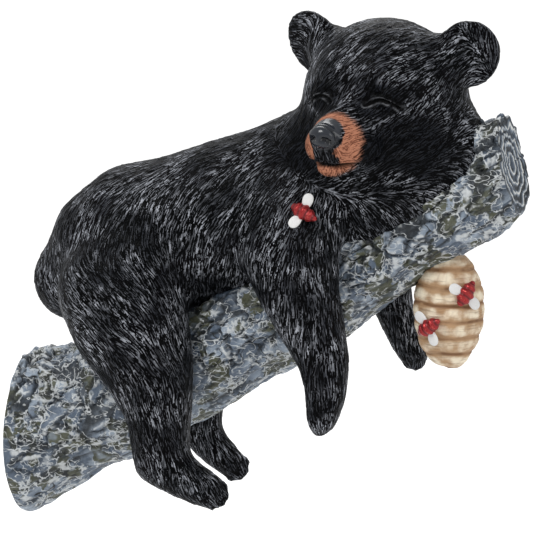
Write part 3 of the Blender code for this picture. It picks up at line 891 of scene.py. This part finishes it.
def laid_on(cub, head, path):
    """A path of the head's axes, laid on the cub's skin in short steps."""
    steps = [head.place(*path[0])]
    for start, end in zip(path, path[1:]):
        first, last = head.place(*start), head.place(*end)
        steps += [first.lerp(last, i / 4) for i in range(1, 5)]
    return [cub.closest_point_on_mesh(step)[1] for step in steps]


def soften(mesh, chosen, steps):
    """Evens out the chosen vertices."""
    bm = bmesh.new()
    bm.from_mesh(mesh)
    verts = [vert for vert, wanted in zip(bm.verts, chosen) if wanted]
    for _ in range(steps):
        bmesh.ops.smooth_vert(
            bm, verts=verts, factor=0.5, use_axis_x=True, use_axis_y=True, use_axis_z=True
        )
    bm.to_mesh(mesh)
    bm.free()


def carve_face(cub, head):
    """Cuts the mouth, lids, nostrils and the nose's rim, and masks the lines' dark paint and painted
    shade and the painted highlights along the lids.

    Returns each place in the head's axes.
    """
    mesh = cub.data
    right, forward, _ = head.axes_of(read_places(mesh)).T
    soften(mesh, (forward > 48) & (np.abs(right) < 22), 6)
    places = read_places(mesh)
    depth, lines, lid_glints = np.zeros((3, len(places)))
    glint_away, glint_width = LID_GLINT
    for path, width, deep, dark in FACE_LINES:
        for side in (1, -1):
            laid = laid_on(cub, head, [(side * right, forward, up) for right, forward, up in path])
            away = distance_to_path(places, laid)
            near = np.exp(-((away / (width * MM)) ** 2))
            depth = np.maximum(depth, deep * near)
            lines = np.maximum(lines, dark * near)
            # a painted highlight runs along each side of the lash line
            if path is LASH_LINE:
                lid_glints = np.maximum(lid_glints, np.exp(-(((away / MM - glint_away) / glint_width) ** 2)))
    local = head.axes_of(places)
    # the rim mask holds the painted highlight along the lids
    write_mask(mesh, "rim", lid_glints * smooth_share(-0.4, 0.5, noise_at(local, 2.2)))
    # the line mask holds the dark paint and painted shade of the carved lines
    write_mask(mesh, "line", lines)
    write_places(mesh, places - read_normals(mesh) * (depth * MM)[:, None])
    return local


def mask_face(mesh, local):
    """Masks the tan, the nose and the places bare of dry brush and painted glints. Returns where the
    fur is full.
    """
    right, forward, up = local.T
    aside = np.abs(right)
    pad_up, pad_width, pad_height = NOSE_PAD
    pad = np.hypot(right / pad_width, (up - pad_up) / pad_height)
    nose = smooth_share(1.12, 0.98, pad) * smooth_share(59, 63, forward)
    ragged = 3.0 * noise_at(local, 4.0) + 2.0 * noise_at(local, 1.5)
    from_mouth = np.hypot(right, up - TAN_UP) + 0.4 * ragged
    tan = smooth_share(47, 59, forward + 0.6 * ragged) * smooth_share(22, 14, from_mouth)
    below = smooth_share(-8, -12, up) * smooth_share(-23.5, -21.5, up)
    tan *= 1 - below * smooth_share(7.5, 4.0, aside + 0.3 * (up + 12) + ragged * 0.5)
    beside = smooth_share(1.30, 1.12, pad + 0.05 * ragged) * smooth_share(58, 62, forward)
    tan *= 1 - beside * smooth_share(1, -4, up)
    write_mask(mesh, "tan", tan * (1 - nose))
    write_mask(mesh, "nose", nose)
    lids = smooth_share(15, 9, np.hypot(aside - 19, (up - 9) * 1.3))
    cheeks = smooth_share(24, 12, np.hypot(aside - 32, up + 16))
    write_mask(mesh, "bare", np.maximum(lids, cheeks) * smooth_share(5, 20, forward))
    return smooth_share(56, 44, forward - 0.35 * np.abs(up))


def comb_coat(places, normals, local):
    """The way the hair runs at each place."""
    flow = np.zeros_like(places)
    flow[:, 2] = -1e-6
    for place, heading in COMB:
        for side in (1, -1):
            spot = np.array(place, float) * (1, side, 1) * MM
            heading_here = np.array(heading, float) * (1, side, 1)
            away = np.linalg.norm(places - spot, axis=1) / (COMB_REACH * MM)
            flow += np.exp(-0.5 * away ** 2)[:, None] * heading_here
    flow /= np.linalg.norm(flow, axis=1)[:, None]
    from_nose = places - places[np.argmax(local[:, 1])]
    from_nose /= np.linalg.norm(from_nose, axis=1)[:, None] + 1e-9
    from_head = np.linalg.norm(local * (1, 1, 1.05) - (0, 8, 4), axis=1)
    on_head = (1 - smooth_share(52, 74, from_head))[:, None]
    flow = flow * (1 - on_head) + from_nose * on_head
    wobble = 0.38 * noise_at(places, 0.017 * SIZE) + 0.25 * noise_at(places, 0.006 * SIZE)
    flow -= normals * (flow * normals).sum(axis=1)[:, None]
    flow += np.cross(normals, flow) * np.tan(wobble)[:, None]
    return flow / (np.linalg.norm(flow, axis=1)[:, None] + 1e-9)


def lock_crests(places, normals, flow, look):
    """Overlapping pointed locks: 0 in the gaps between them, 1 on the crest of a tip."""
    rng = np.random.default_rng(3)
    order = rng.permutation(len(places))
    cells = np.floor(places[order] / (look.lock_width * 1.35)).astype(int)
    seeds = order[np.unique(cells, axis=0, return_index=True)[1]]
    tree = tree_of(places[seeds])
    near = np.array([[hit[1] for hit in tree.find_n(place, 12)] for place in places])
    height = rng.uniform(0.55, 1, len(seeds))
    sideways = np.cross(normals[seeds], flow[seeds])
    crest = np.zeros(len(places))
    for column in near.T:
        away = places - places[seeds[column]]
        along = (away * flow[seeds[column]]).sum(axis=1) / look.lock_length + 0.5
        across = (away * sideways[column]).sum(axis=1) / (look.lock_width / 2)
        spread = np.sqrt(np.clip(1 - ((along - 0.30) / 0.74) ** 2, 1e-6, 1))
        ridge = np.clip(1 - (across / spread) ** 2, 0, 1)
        slope = 0.30 + 0.70 * np.clip(along, 0, 1)
        crest = np.maximum(crest, ridge ** 0.6 * slope * height[column] * (spread > 0.01))
    return crest


# Hive


def hive_radius(look, height_share):
    egg = np.sin(math.pi * height_share ** 1.06) ** 0.38
    crown = np.abs(np.sin(math.pi * look.bands * height_share)) ** 0.45
    return np.maximum(look.radius * egg - look.band_relief * (1 - crown), 0.0008 * SIZE), crown


def hive_bottom(line, look):
    x = line.look.reach - look.from_tip
    return Vector((x, 0, line.middle(x) - line.radius(x) + look.sink - look.height))


def hive_mesh(line, look):
    shares = np.linspace(0, 1, 122)[1:-1]
    radii, _ = hive_radius(look, shares)
    bm = turned([(0, 0), *zip(radii, shares * look.height), (0, look.height)], 128)
    places = np.array([vert.co for vert in bm.verts])
    sway = 0.0012 * SIZE * noise_at(places * (1, 1, 0.4), 0.012 * SIZE)
    turn = np.arctan2(places[:, 1], places[:, 0])
    height = places[:, 2] + sway + 0.0006 * SIZE * np.sin(turn)
    height_share = np.clip(height / look.height, 0.001, 0.999)
    radius, crown = hive_radius(look, height_share)
    straws = noise_at(places * (0.35, 0.35, 3.0), 0.0032 * SIZE)
    dents = noise_at(places, 0.006 * SIZE)
    band = np.floor(height_share * look.bands)
    nick = np.sin(turn * 9 + band * 2.1 + 2 * noise_at(places, 0.02 * SIZE)) ** 24
    nick *= smooth_share(0.25, 0.7, noise_at(places * (1, 1, 0.6), 0.011 * SIZE) + 0.5)
    outer = np.hypot(places[:, 0], places[:, 1])
    keep = (outer > 1e-5).astype(float)
    skew = 0.00022 * SIZE * straws + 0.0004 * SIZE * dents - 0.0002 * SIZE * nick - 0.0003 * SIZE
    grown = np.where(outer > 0, (radius + skew) / np.maximum(outer, 1e-6), 0)
    places[:, :2] *= (grown * keep)[:, None]
    set_verts(bm, places, {"crown": crown, "nick": nick, "straw": 0.5 + 0.5 * straws})
    bmesh.ops.translate(bm, verts=bm.verts[:], vec=hive_bottom(line, look))
    return bm


# Bees


def bee_frames(line, hive, look):
    """Where each bee sits and which way it looks, as a matrix: along, across, outward."""
    cub = bpy.data.objects["cub"]
    hit, place, outward, _ = cub.ray_cast(line.over(*SHOULDER_BEE), Vector((0, 1, 0)))
    if not hit:
        raise RuntimeError("The shoulder bee misses the cub")
    toward = Vector((-0.1, -1, 0.15))
    seats = [(place, (outward + toward).normalized(), Vector(SHOULDER_BEE_HEADING))]
    for (east, north), height_share, heading in HIVE_BEES:
        around = Vector((east, north, 0)).normalized()
        radius = float(hive_radius(hive, np.array([height_share]))[0][0])
        radius = max(radius, hive.radius * math.sin(math.pi * height_share ** 1.06) ** 0.38)
        up = Vector((0, 0, hive.height * height_share))
        lean = Vector((0, 0, 0.8 * (height_share - 0.5)))
        seats.append((hive_bottom(line, hive) + up + around * radius, around + lean, Vector(heading)))
    frames = []
    for place, outward, heading in seats:
        outward = outward.normalized()
        along = (heading - heading.dot(outward) * outward).normalized()
        across = outward.cross(along)
        place = place + outward * (look.radius - look.sink)
        frames.append(matrix_of(along, across, outward, place))
    return frames


def add_bee_body(bm, matrix, look):
    """A ribbed body with a round head, its ribs wound a little askew."""
    made = bmesh.ops.create_uvsphere(
        bm, u_segments=40, v_segments=72, radius=1, matrix=Matrix.Rotation(math.pi / 2, 4, "Y")
    )["verts"]
    layer = bm.verts.layers.float["rib"]
    for vert in made:
        x, y, z = vert.co
        turn = math.atan2(z, y)
        wave = math.cos(2 * math.pi * BEE_RIBS * (x + 1) / 2 + 0.5 * math.sin(turn))
        knob = 0.03 * math.cos(5 * turn + 3 * round(BEE_RIBS * (x + 1) / 2))
        taper = 1 - 0.25 * x * x - 0.12 * x
        girth = look.radius * (1 + 0.10 * wave + knob * (1 - x * x)) * taper
        vert.co = matrix @ Vector((x * look.length / 2, y * girth, z * girth))
        vert[layer] = 0.5 + 0.5 * wave


def add_bee_wing(bm, matrix, look, side):
    """A thick rounded wing, narrow at its root and slightly dished."""
    turn = Matrix.Rotation(side * WING_SPREAD, 4, "Z")
    made = bmesh.ops.create_uvsphere(bm, u_segments=40, v_segments=28, radius=1)["verts"]
    layer = bm.verts.layers.float["root"]
    for vert in made:
        x, y, z = vert.co
        narrow = 0.80 + 0.24 * x
        rim = max(0.0, 1 - x * x - y * y)
        dish = 0.72 + 0.28 * (1 - rim)
        place = Vector((
            (x * 0.5 + 0.62) * look.wing_length,
            y * narrow * look.wing_width / 2,
            z * dish * look.wing_thickness / 2,
        ))
        vert.co = matrix @ turn @ place
        vert[layer] = 0.5 - 0.5 * x


# Materials


def set_input(tree, socket, value):
    if isinstance(value, bpy.types.NodeSocket):
        tree.links.new(value, socket)
    elif socket.type == "RGBA":
        socket.default_value = (*value[:3], 1)
    else:
        socket.default_value = value


class Nodes:
    """Adds nodes to one tree. A value is a number, a colour or another node's output."""

    def __init__(self, tree):
        self.tree = tree

    def add(self, kind, inputs=None, **settings):
        made = self.tree.nodes.new(kind)
        for name, value in settings.items():
            setattr(made, name, value)
        for name, value in (inputs or {}).items():
            set_input(self.tree, made.inputs[name], value)
        return made

    def maths(self, operation, first, *others):
        """One operation over all the values, from left to right."""
        for other in others or (0.0,):
            made = self.add("ShaderNodeMath", {0: first, 1: other}, operation=operation)
            first = made.outputs[0]
        return first

    def times(self, *values):
        return self.maths("MULTIPLY", *values)

    def plus(self, *values):
        return self.maths("ADD", *values)

    def away(self, value, middle):
        return self.maths("ABSOLUTE", self.maths("SUBTRACT", value, middle))

    def ramp(self, value, low, high, bottom=0.0, top=1.0):
        """A soft step of a value from low to high."""
        return self.add(
            "ShaderNodeMapRange",
            {"Value": value, "From Min": low, "From Max": high, "To Min": bottom, "To Max": top},
            interpolation_type="SMOOTHSTEP",
        ).outputs["Result"]

    def layers(self, paint, *coats):
        """A paint with others laid over it in turn, each where its mask says."""
        for coat, mask in coats:
            made = self.add("ShaderNodeMix", {0: mask, 6: paint, 7: coat}, data_type="RGBA")
            paint = made.outputs[2]
        return paint

    def masks(self, *names):
        return [
            self.add("ShaderNodeAttribute", attribute_name=name).outputs["Fac"] for name in names
        ]

    def spot(self):
        return self.add("ShaderNodeTexCoord").outputs["Object"]

    def noise(self, place, scale, detail, **more):
        inputs = {"Vector": place, "Scale": scale, "Detail": detail, **more}
        return self.add("ShaderNodeTexNoise", inputs).outputs["Fac"]

    def cloud(self, scale, detail=2.0, stretch=(1, 1, 1), turn=(0, 0, 0)):
        """Noise on the piece's own coordinates, its lumps one over scale across."""
        lay = {"Vector": self.spot(), "Scale": stretch, "Rotation": turn}
        return self.noise(self.add("ShaderNodeMapping", lay).outputs[0], scale / SIZE, detail)

    def threads(self, scale, width, stretch, patch):
        """Thin wandering lines, where noise passes its middle value, in some patches only."""
        swing = self.away(self.cloud(scale, 2.0, stretch, THREAD_TURN), 0.5)
        patches = self.cloud(scale * THREAD_PATCHES, 2.0, turn=THREAD_PATCH_TURN)
        line = self.ramp(swing, width, width * 0.3)
        return self.times(line, self.ramp(patches, patch - 0.04, patch + 0.03))

    def group(self, name, fill, **inputs):
        """A node group, filled at its first use, with its inputs set."""
        tree = bpy.data.node_groups.get(name) or new_group(name, fill, inputs)
        return self.add("ShaderNodeGroup", inputs, node_tree=tree).outputs

    def hairs(self, scale, hair_length):
        flow = self.add("ShaderNodeAttribute", attribute_name="flow").outputs["Vector"]
        made = self.group(
            "carved_hairs", fill_hairs, Flow=flow, Scale=scale / SIZE, Length=hair_length
        )
        return made["Hair"]

    def grain(self, scale):
        made = self.group("casting_grain", fill_grain, Scale=scale / SIZE)
        return made["Height"], made["Speckle"]

    def relief(self, height, distance, strength=1.0):
        inputs = {"Height": height, "Distance": distance, "Strength": strength}
        return self.add("ShaderNodeBump", inputs).outputs["Normal"]

    def shade(self, **inputs):
        """Sets the inputs of the material's shader."""
        shader = self.tree.nodes["Principled BSDF"]
        for name, value in inputs.items():
            set_input(self.tree, shader.inputs[name.replace("_", " ")], value)


def new_group(name, fill, inputs):
    group = bpy.data.node_groups.new(name, "ShaderNodeTree")
    for title in inputs:
        kind = "NodeSocketVector" if title == "Flow" else "NodeSocketFloat"
        group.interface.new_socket(title, in_out="INPUT", socket_type=kind)
    given = group.nodes.new("NodeGroupInput")
    out = group.nodes.new("NodeGroupOutput")
    for title, value in fill(Nodes(group), given.outputs).items():
        group.interface.new_socket(title, in_out="OUTPUT", socket_type="NodeSocketFloat")
        group.links.new(value, out.inputs[title])
    return group


def fill_hairs(nodes, given):
    """Fine hairs along the coat's flow, from the mean of noise at places along it."""
    spot = nodes.spot()
    pace = nodes.maths("DIVIDE", given["Length"], HAIR_SAMPLES - 1)
    step = nodes.add(
        "ShaderNodeVectorMath", {0: given["Flow"], "Scale": pace}, operation="SCALE"
    ).outputs[0]
    samples = []
    for i in range(HAIR_SAMPLES):
        times = i - (HAIR_SAMPLES - 1) / 2
        place = nodes.add(
            "ShaderNodeVectorMath", {0: step, 1: (times,) * 3, 2: spot}, operation="MULTIPLY_ADD"
        ).outputs[0]
        samples.append(nodes.noise(place, given["Scale"], 0.0))
    mean = nodes.maths("DIVIDE", nodes.plus(*samples), float(HAIR_SAMPLES))
    return {"Hair": nodes.ramp(mean, 0.40, 0.60)}


def fill_grain(nodes, given):
    """Grain of a cast and hand-painted surface: a height and a speckle."""
    spot = nodes.spot()
    lumps = nodes.noise(spot, given["Scale"], 4.0, Roughness=0.6)
    dots = nodes.noise(spot, nodes.times(given["Scale"], 2.3), 3.0, Distortion=0.6)
    return {"Height": lumps, "Speckle": nodes.ramp(dots, 0.50, 0.66)}


def new_material(name):
    material = bpy.data.materials.new(name)
    material.use_nodes = True
    return material, Nodes(material.node_tree)


def coat_material(look):
    """Black carved coat with dry-brushed hairs, painted sheen and painted glints, tan muzzle and
    glossy nose.
    """
    material, nodes = new_material("carved_coat")
    times, ramp, cloud = nodes.times, nodes.ramp, nodes.cloud
    fine = nodes.hairs(1450, look.hair_length)
    broad = nodes.hairs(480, look.hair_length * 2)
    crest, tan, nose, line, rim, bare = nodes.masks("lock", "tan", "nose", "line", "rim", "bare")
    carved = nodes.plus(times(fine, 0.7), times(broad, 0.6))
    pimples = ramp(cloud(900, 1.0), 0.4, 0.7)
    height = nodes.plus(
        times(carved, nodes.maths("SUBTRACT", 1.0, nose)), times(pimples, nose, 0.15)
    )
    crests = ramp(crest, 0.05, 0.70, 0.25)
    # pale flecks on the hair crests: dry brush, and painted highlights
    dry_brush_and_glints = times(
        ramp(fine, 0.55, 0.85),
        ramp(broad, 0.25, 0.75, 0.30),
        crests,
        ramp(cloud(55, 3.0), 0.38, 0.62, 0.15),
        ramp(bare, 0.0, 1.0, 1.0, 0.03),
    )
    muzzle = nodes.layers(look.deep_tan, (look.tan, ramp(fine, 0.10, 0.60, 0.15)))
    thin = ramp(nodes.plus(tan, times(fine, 0.30)), 0.45, 1.15)
    paint = nodes.layers(
        look.black,
        # painted sheen on the hairs of the lock crests
        (look.painted_sheen, times(ramp(fine, 0.35, 0.85), crests)),
        (look.dry_brush_and_glints, dry_brush_and_glints),
        (muzzle, thin),
        (look.nose, nose),
        # painted highlight along the lids, from the rim mask
        (LID_GLINT_GREY, times(rim, 0.75)),
        # the carved lines painted dark: their paint and painted shade
        (LINE_BLACK_AND_SHADE, line),
    )
    nodes.shade(
        Base_Color=paint,
        Roughness=nodes.plus(ramp(nose, 0.2, 0.8, 0.36, 0.22), times(thin, 0.2)),
        Coat_Weight=times(nose, 0.9),
        Coat_Roughness=0.12,
        Specular_IOR_Level=0.05,
        Normal=nodes.relief(height, look.hair_depth),
    )
    return material


def bark_material(look):
    """Slate bark with olive washes, thin dark lines, painted shade in its cracks, holes, underside
    grooves and the sawn tip's grooves, and white dry-brushed edges.
    """
    material, nodes = new_material("slate_bark")
    times, ramp, cloud = nodes.times, nodes.ramp, nodes.cloud
    bumps, speckle = nodes.grain(240)
    crack, edge, under, groove = nodes.masks("crack", "edge", "under", "groove")
    level, crumb, sawn, ring = nodes.masks("level", "crumb", "sawn", "ring")
    tone = nodes.plus(times(level, 0.40), times(cloud(75, 3.0), 0.75))
    patches = cloud(56, 4.0, (1.3, 1, 1))
    shore = ramp(nodes.away(patches, 0.527), 0.018, 0.005)
    white = nodes.maths(
        "MAXIMUM",
        times(ramp(crumb, 0.66, 0.85), ramp(cloud(170), 0.52, 0.60), 0.8),
        times(ramp(edge, 0.55, 0.95), ramp(cloud(110), 0.45, 0.56)),
        times(shore, ramp(cloud(120), 0.42, 0.54)),
        nodes.threads(95, 0.014, (0.6, 1, 1.2), 0.48),
        nodes.threads(170, 0.016, (0.5, 1.2, 1), 0.50),
    )
    # The sawn tip: dark in the grooves between the rings as painted shade, pale and white on the
    # raised rings
    wood = nodes.layers(
        look.crack,
        (look.pale, ramp(ring, 0.20, 0.80, 0.05)),
        (look.slate, ramp(cloud(160, 3.0), 0.45, 0.65, 0.0, 0.6)),
        (WOOD_WHITE, ramp(ring, 0.62, 0.88)),
    )
    paint = nodes.layers(
        look.slate,
        (look.pale, ramp(tone, 0.42, 0.76)),
        (look.olive, times(ramp(patches, 0.53, 0.56), ramp(crumb, 0.25, 0.5, 0.5), 0.92)),
        (look.crack, ramp(cloud(150, 3.0), 0.53, 0.66, 0.0, 0.75)),
        # painted shade in the cracks and holes
        (look.crack, times(crack, 0.9)),
        # painted shade in the grooves of the underside
        (look.crack, times(groove, under, 0.95)),
        (look.crack, nodes.threads(80, 0.016, (0.6, 1, 1), 0.54)),
        (look.edge, times(white, 0.9)),
        (wood, sawn),
    )
    nodes.shade(
        Base_Color=paint,
        Roughness=ramp(speckle, 0.0, 1.0, 0.42, 0.66),
        Normal=nodes.relief(nodes.plus(bumps, times(speckle, 0.2)), 0.0020 * SIZE, 0.8),
    )
    return material


def hive_material(look):
    """Straw coils with brown streaks, painted highlights on their crowns, and brown painted shade in
    the grooves and nicks.
    """
    material, nodes = new_material("straw_coils")
    times, ramp, cloud = nodes.times, nodes.ramp, nodes.cloud
    crown, nick, straw = nodes.masks("crown", "nick", "straw")
    strands = cloud(190, 3.0, (0.45, 0.45, 5.5))
    blotches = ramp(cloud(70, 3.0), 0.40, 0.60, 0.25, 0.85)
    paint = nodes.layers(
        look.straw,
        # painted highlights on the crowns of the coils
        (look.light, ramp(times(crown, cloud(120, 3.0)), 0.30, 0.62)),
        (look.brown, ramp(strands, 0.52, 0.75, 0.0, 0.45)),
        # painted shade in the grooves between the coils and in the nicks
        (look.brown, times(ramp(crown, 0.80, 0.35), blotches)),
        (look.brown, times(nick, 0.12)),
    )
    nodes.shade(
        Base_Color=paint,
        Roughness=ramp(strands, 0.3, 0.7, 0.5, 0.68),
        Normal=nodes.relief(nodes.plus(strands, times(straw, 0.3)), 0.0008 * SIZE, 0.8),
    )
    return material


def bee_material(look):
    """Metallic crimson, with painted shade between the ribs and painted highlights on them."""
    material, nodes = new_material("crimson_bee")
    ramp = nodes.ramp
    (rib,) = nodes.masks("rib")
    bumps, speckle = nodes.grain(900)
    # painted shade between the ribs, and painted highlights speckled on their crests
    dark = tuple(value * 0.16 for value in look.red)
    rib_highlight = (min(1, look.red[0] * 1.9), look.red[1] * 6, look.red[2] * 4)
    paint = nodes.layers(
        dark,
        (look.red, ramp(rib, 0.0, 0.35, 0.35)),
        (rib_highlight, nodes.times(ramp(rib, 0.55, 1.0), speckle)),
    )
    nodes.shade(
        Base_Color=paint,
        Metallic=ramp(rib, 0.2, 0.9, 0.25, 0.65),
        Roughness=ramp(bumps, 0.3, 0.7, 0.24, 0.42),
        Coat_Roughness=0.15,
        Normal=nodes.relief(bumps, 0.0003 * SIZE, 0.6),
    )
    return material


def wing_material(look):
    """White paint, greyer near the root as painted shade, with grey specks of wear."""
    material, nodes = new_material("white_wing")
    (root,) = nodes.masks("root")
    bumps, speckle = nodes.grain(700)
    paint = nodes.layers(
        look.white,
        # painted shade at the root, where the wing meets the body
        (GREY_OF_WEAR_AND_SHADE, nodes.times(nodes.ramp(root, 0.6, 1.0), 0.6)),
        (GREY_OF_WEAR_AND_SHADE, nodes.times(speckle, 0.12)),
    )
    nodes.shade(
        Base_Color=paint,
        Roughness=nodes.ramp(bumps, 0.3, 0.7, 0.40, 0.6),
        Normal=nodes.relief(bumps, 0.0004 * SIZE, 0.5),
    )
    return material


def floor_material(paint_colour):
    """Pale paint that looks white under a white sky."""
    material, nodes = new_material("pale_floor")
    tone = nodes.ramp(nodes.cloud(3), 0.3, 0.7, 0.97, 1.0)
    paint = nodes.add(
        "ShaderNodeMix", {0: 1.0, 6: paint_colour, 7: tone}, data_type="RGBA",
        blend_type="MULTIPLY",
    )
    seen = nodes.add("ShaderNodeLightPath").outputs["Is Camera Ray"]
    nodes.shade(
        Base_Color=paint.outputs[2],
        Roughness=0.9,
        Specular_IOR_Level=0.1,
        Emission_Color=(1, 1, 1),
        Emission_Strength=nodes.times(seen, 0.6),
    )
    return material


# Operators, one for each piece or group of like pieces


class FIGURE_OT_branch(bpy.types.Operator):
    """Builds the branch and the knot that the hive hangs from"""

    bl_idname = "figure.branch"
    bl_label = "Branch"

    def execute(self, context):
        scene = context.scene
        line = BranchLine(scene.figure_branch)
        bm = branch_mesh(line)
        add_mesh_of(bm, stub_mesh(line, scene.figure_hive))
        branch = object_of("branch", bm)
        finish_piece(branch, bark_material(scene.figure_branch))
        branch.data.set_sharp_from_angle(angle=math.radians(70))
        return {"FINISHED"}


class FIGURE_OT_cub(bpy.types.Operator):
    """Builds the cub and carves its coat and face"""

    bl_idname = "figure.cub"
    bl_label = "Cub"

    def execute(self, context):
        scene = context.scene
        look = scene.figure_cub
        line = BranchLine(scene.figure_branch)
        head = Head(line, look)
        cub = cub_skin(line, head, look)
        mesh = cub.data
        local = carve_face(cub, head)
        furry = mask_face(mesh, local)
        places, normals = read_places(mesh), read_normals(mesh)
        flow = comb_coat(places, normals, local)
        crest = lock_crests(places, normals, flow, look)
        depth = look.lock_depth * furry * (1 - crest)
        write_places(mesh, places - normals * depth[:, None])
        write_arrows(mesh, "flow", flow)
        write_mask(mesh, "lock", crest)
        finish_piece(cub, coat_material(look))
        return {"FINISHED"}


class FIGURE_OT_hive(bpy.types.Operator):
    """Builds the hive"""

    bl_idname = "figure.hive"
    bl_label = "Hive"

    def execute(self, context):
        scene = context.scene
        hive = object_of("hive", hive_mesh(BranchLine(scene.figure_branch), scene.figure_hive))
        finish_piece(hive, hive_material(scene.figure_hive))
        return {"FINISHED"}


class FIGURE_OT_bees(bpy.types.Operator):
    """Builds the three bees: their bodies and their wings"""

    bl_idname = "figure.bees"
    bl_label = "Bees"

    def execute(self, context):
        scene = context.scene
        look = scene.figure_bees
        frames = bee_frames(BranchLine(scene.figure_branch), scene.figure_hive, look)
        bodies, wings = bmesh.new(), bmesh.new()
        bodies.verts.layers.float.new("rib")
        wings.verts.layers.float.new("root")
        for matrix in frames:
            add_bee_body(bodies, matrix, look)
            for side in (-1, 1):
                add_bee_wing(wings, matrix, look, side)
        finish_piece(object_of("bee_bodies", bodies), bee_material(look))
        finish_piece(object_of("bee_wings", wings), wing_material(look))
        return {"FINISHED"}


class FIGURE_OT_stage(bpy.types.Operator):
    """Sets up the floor, the light and the camera"""

    bl_idname = "figure.stage"
    bl_label = "Floor, light and camera"

    def execute(self, context):
        look = context.scene.figure_stage
        make_floor(look)
        make_light(look)
        make_camera(look)
        return {"FINISHED"}


def make_floor(look):
    bm = bmesh.new()
    bmesh.ops.create_grid(bm, x_segments=8, y_segments=8, size=11 * SIZE)
    bmesh.ops.translate(bm, verts=bm.verts[:], vec=(0, 0, LOW.z - look.drop))
    floor = object_of("floor", bm)
    floor.data.materials.append(floor_material(look.floor_paint))


def aim(obj, place, target):
    obj.location = place
    obj.rotation_mode = "QUATERNION"
    obj.rotation_quaternion = (target - place).to_track_quat("-Z", "Y")
    bpy.context.scene.collection.objects.link(obj)


def view_axes(look):
    """The photograph's right, up and back, for a camera that stands level."""
    a, e = look.azimuth, look.elevation
    back = Vector((math.sin(a) * math.cos(e), -math.cos(a) * math.cos(e), math.sin(e)))
    right = Vector((math.cos(a), math.sin(a), 0))
    return right, back.cross(right), back


def make_light(look):
    right, up, back = view_axes(look)
    middle = (LOW + HIGH) / 2
    for name, place, size, power in (
        ("key_light", back * 1.3 + up * 1.5 - right * 1.1, 0.9, 1.0),
        ("fill_light", back * 1.5 + up * 0.4 + right * 1.5, 1.2, 0.35),
        ("rim_light", up * 1.6 - back * 1.2, 1.2, 0.5),
    ):
        lamp = bpy.data.lights.new(name, "AREA")
        lamp.shape = "DISK"
        lamp.size = size * SIZE
        lamp.energy = look.key * power * SIZE * SIZE
        aim(bpy.data.objects.new(name, lamp), middle + place * SIZE, middle)
    world = bpy.data.worlds.new("soft_sky")
    world.use_nodes = True
    nodes = Nodes(world.node_tree)
    sky = world.node_tree.nodes["Background"].inputs
    seen = nodes.add("ShaderNodeLightPath").outputs["Is Camera Ray"]
    set_input(nodes.tree, sky["Color"], (1, 1, 1))
    set_input(nodes.tree, sky["Strength"], nodes.ramp(seen, 0.0, 1.0, look.sky, 1.0))
    bpy.context.scene.world = world
    bpy.context.scene.view_settings.view_transform = "Standard"


def make_camera(look):
    right, up, back = view_axes(look)
    right_of, above, behind = PHOTO_MIDDLE
    middle = (right * right_of + up * above) * look.pixel + back * behind
    camera = bpy.data.cameras.new("camera")
    camera.sensor_width = SENSOR
    camera.lens = SENSOR * look.distance / (PHOTO_WIDTH * look.pixel)
    camera.clip_end = 40 * SIZE
    eye = bpy.data.objects.new("camera", camera)
    aim(eye, middle + back * look.distance, middle)
    bpy.context.scene.camera = eye


class FIGURE_PT_panel(bpy.types.Panel):
    """Lists the figure's pieces, their sizes and their paints"""

    bl_idname = "FIGURE_PT_panel"
    bl_label = "Bear cub on a branch"
    bl_space_type = "VIEW_3D"
    bl_region_type = "UI"
    bl_category = "Bear cub"

    def draw(self, context):
        for operator, group in zip(OPERATORS, GROUPS):
            box = self.layout.box()
            box.operator(operator.bl_idname)
            look = getattr(context.scene, group)
            for name in look.bl_rna.properties.keys():
                if name not in ("rna_type", "name"):
                    box.prop(look, name)


OPERATORS = (FIGURE_OT_branch, FIGURE_OT_cub, FIGURE_OT_hive, FIGURE_OT_bees, FIGURE_OT_stage)
GROUPS = {
    "figure_branch": BranchLook,
    "figure_cub": CubLook,
    "figure_hive": HiveLook,
    "figure_bees": BeeLook,
    "figure_stage": StageLook,
}


def register():
    for group in GROUPS.values():
        bpy.utils.register_class(group)
    for made in (*OPERATORS, FIGURE_PT_panel):
        bpy.utils.register_class(made)
    for name, group in GROUPS.items():
        setattr(bpy.types.Scene, name, PointerProperty(type=group))


def unregister():
    for name in GROUPS:
        delattr(bpy.types.Scene, name)
    for made in (FIGURE_PT_panel, *reversed(OPERATORS), *reversed(GROUPS.values())):
        bpy.utils.unregister_class(made)


def main():
    register()
    bpy.ops.figure.branch()
    bpy.ops.figure.cub()
    bpy.ops.figure.hive()
    bpy.ops.figure.bees()
    bpy.ops.figure.stage()


if __name__ == "__main__":
    main()
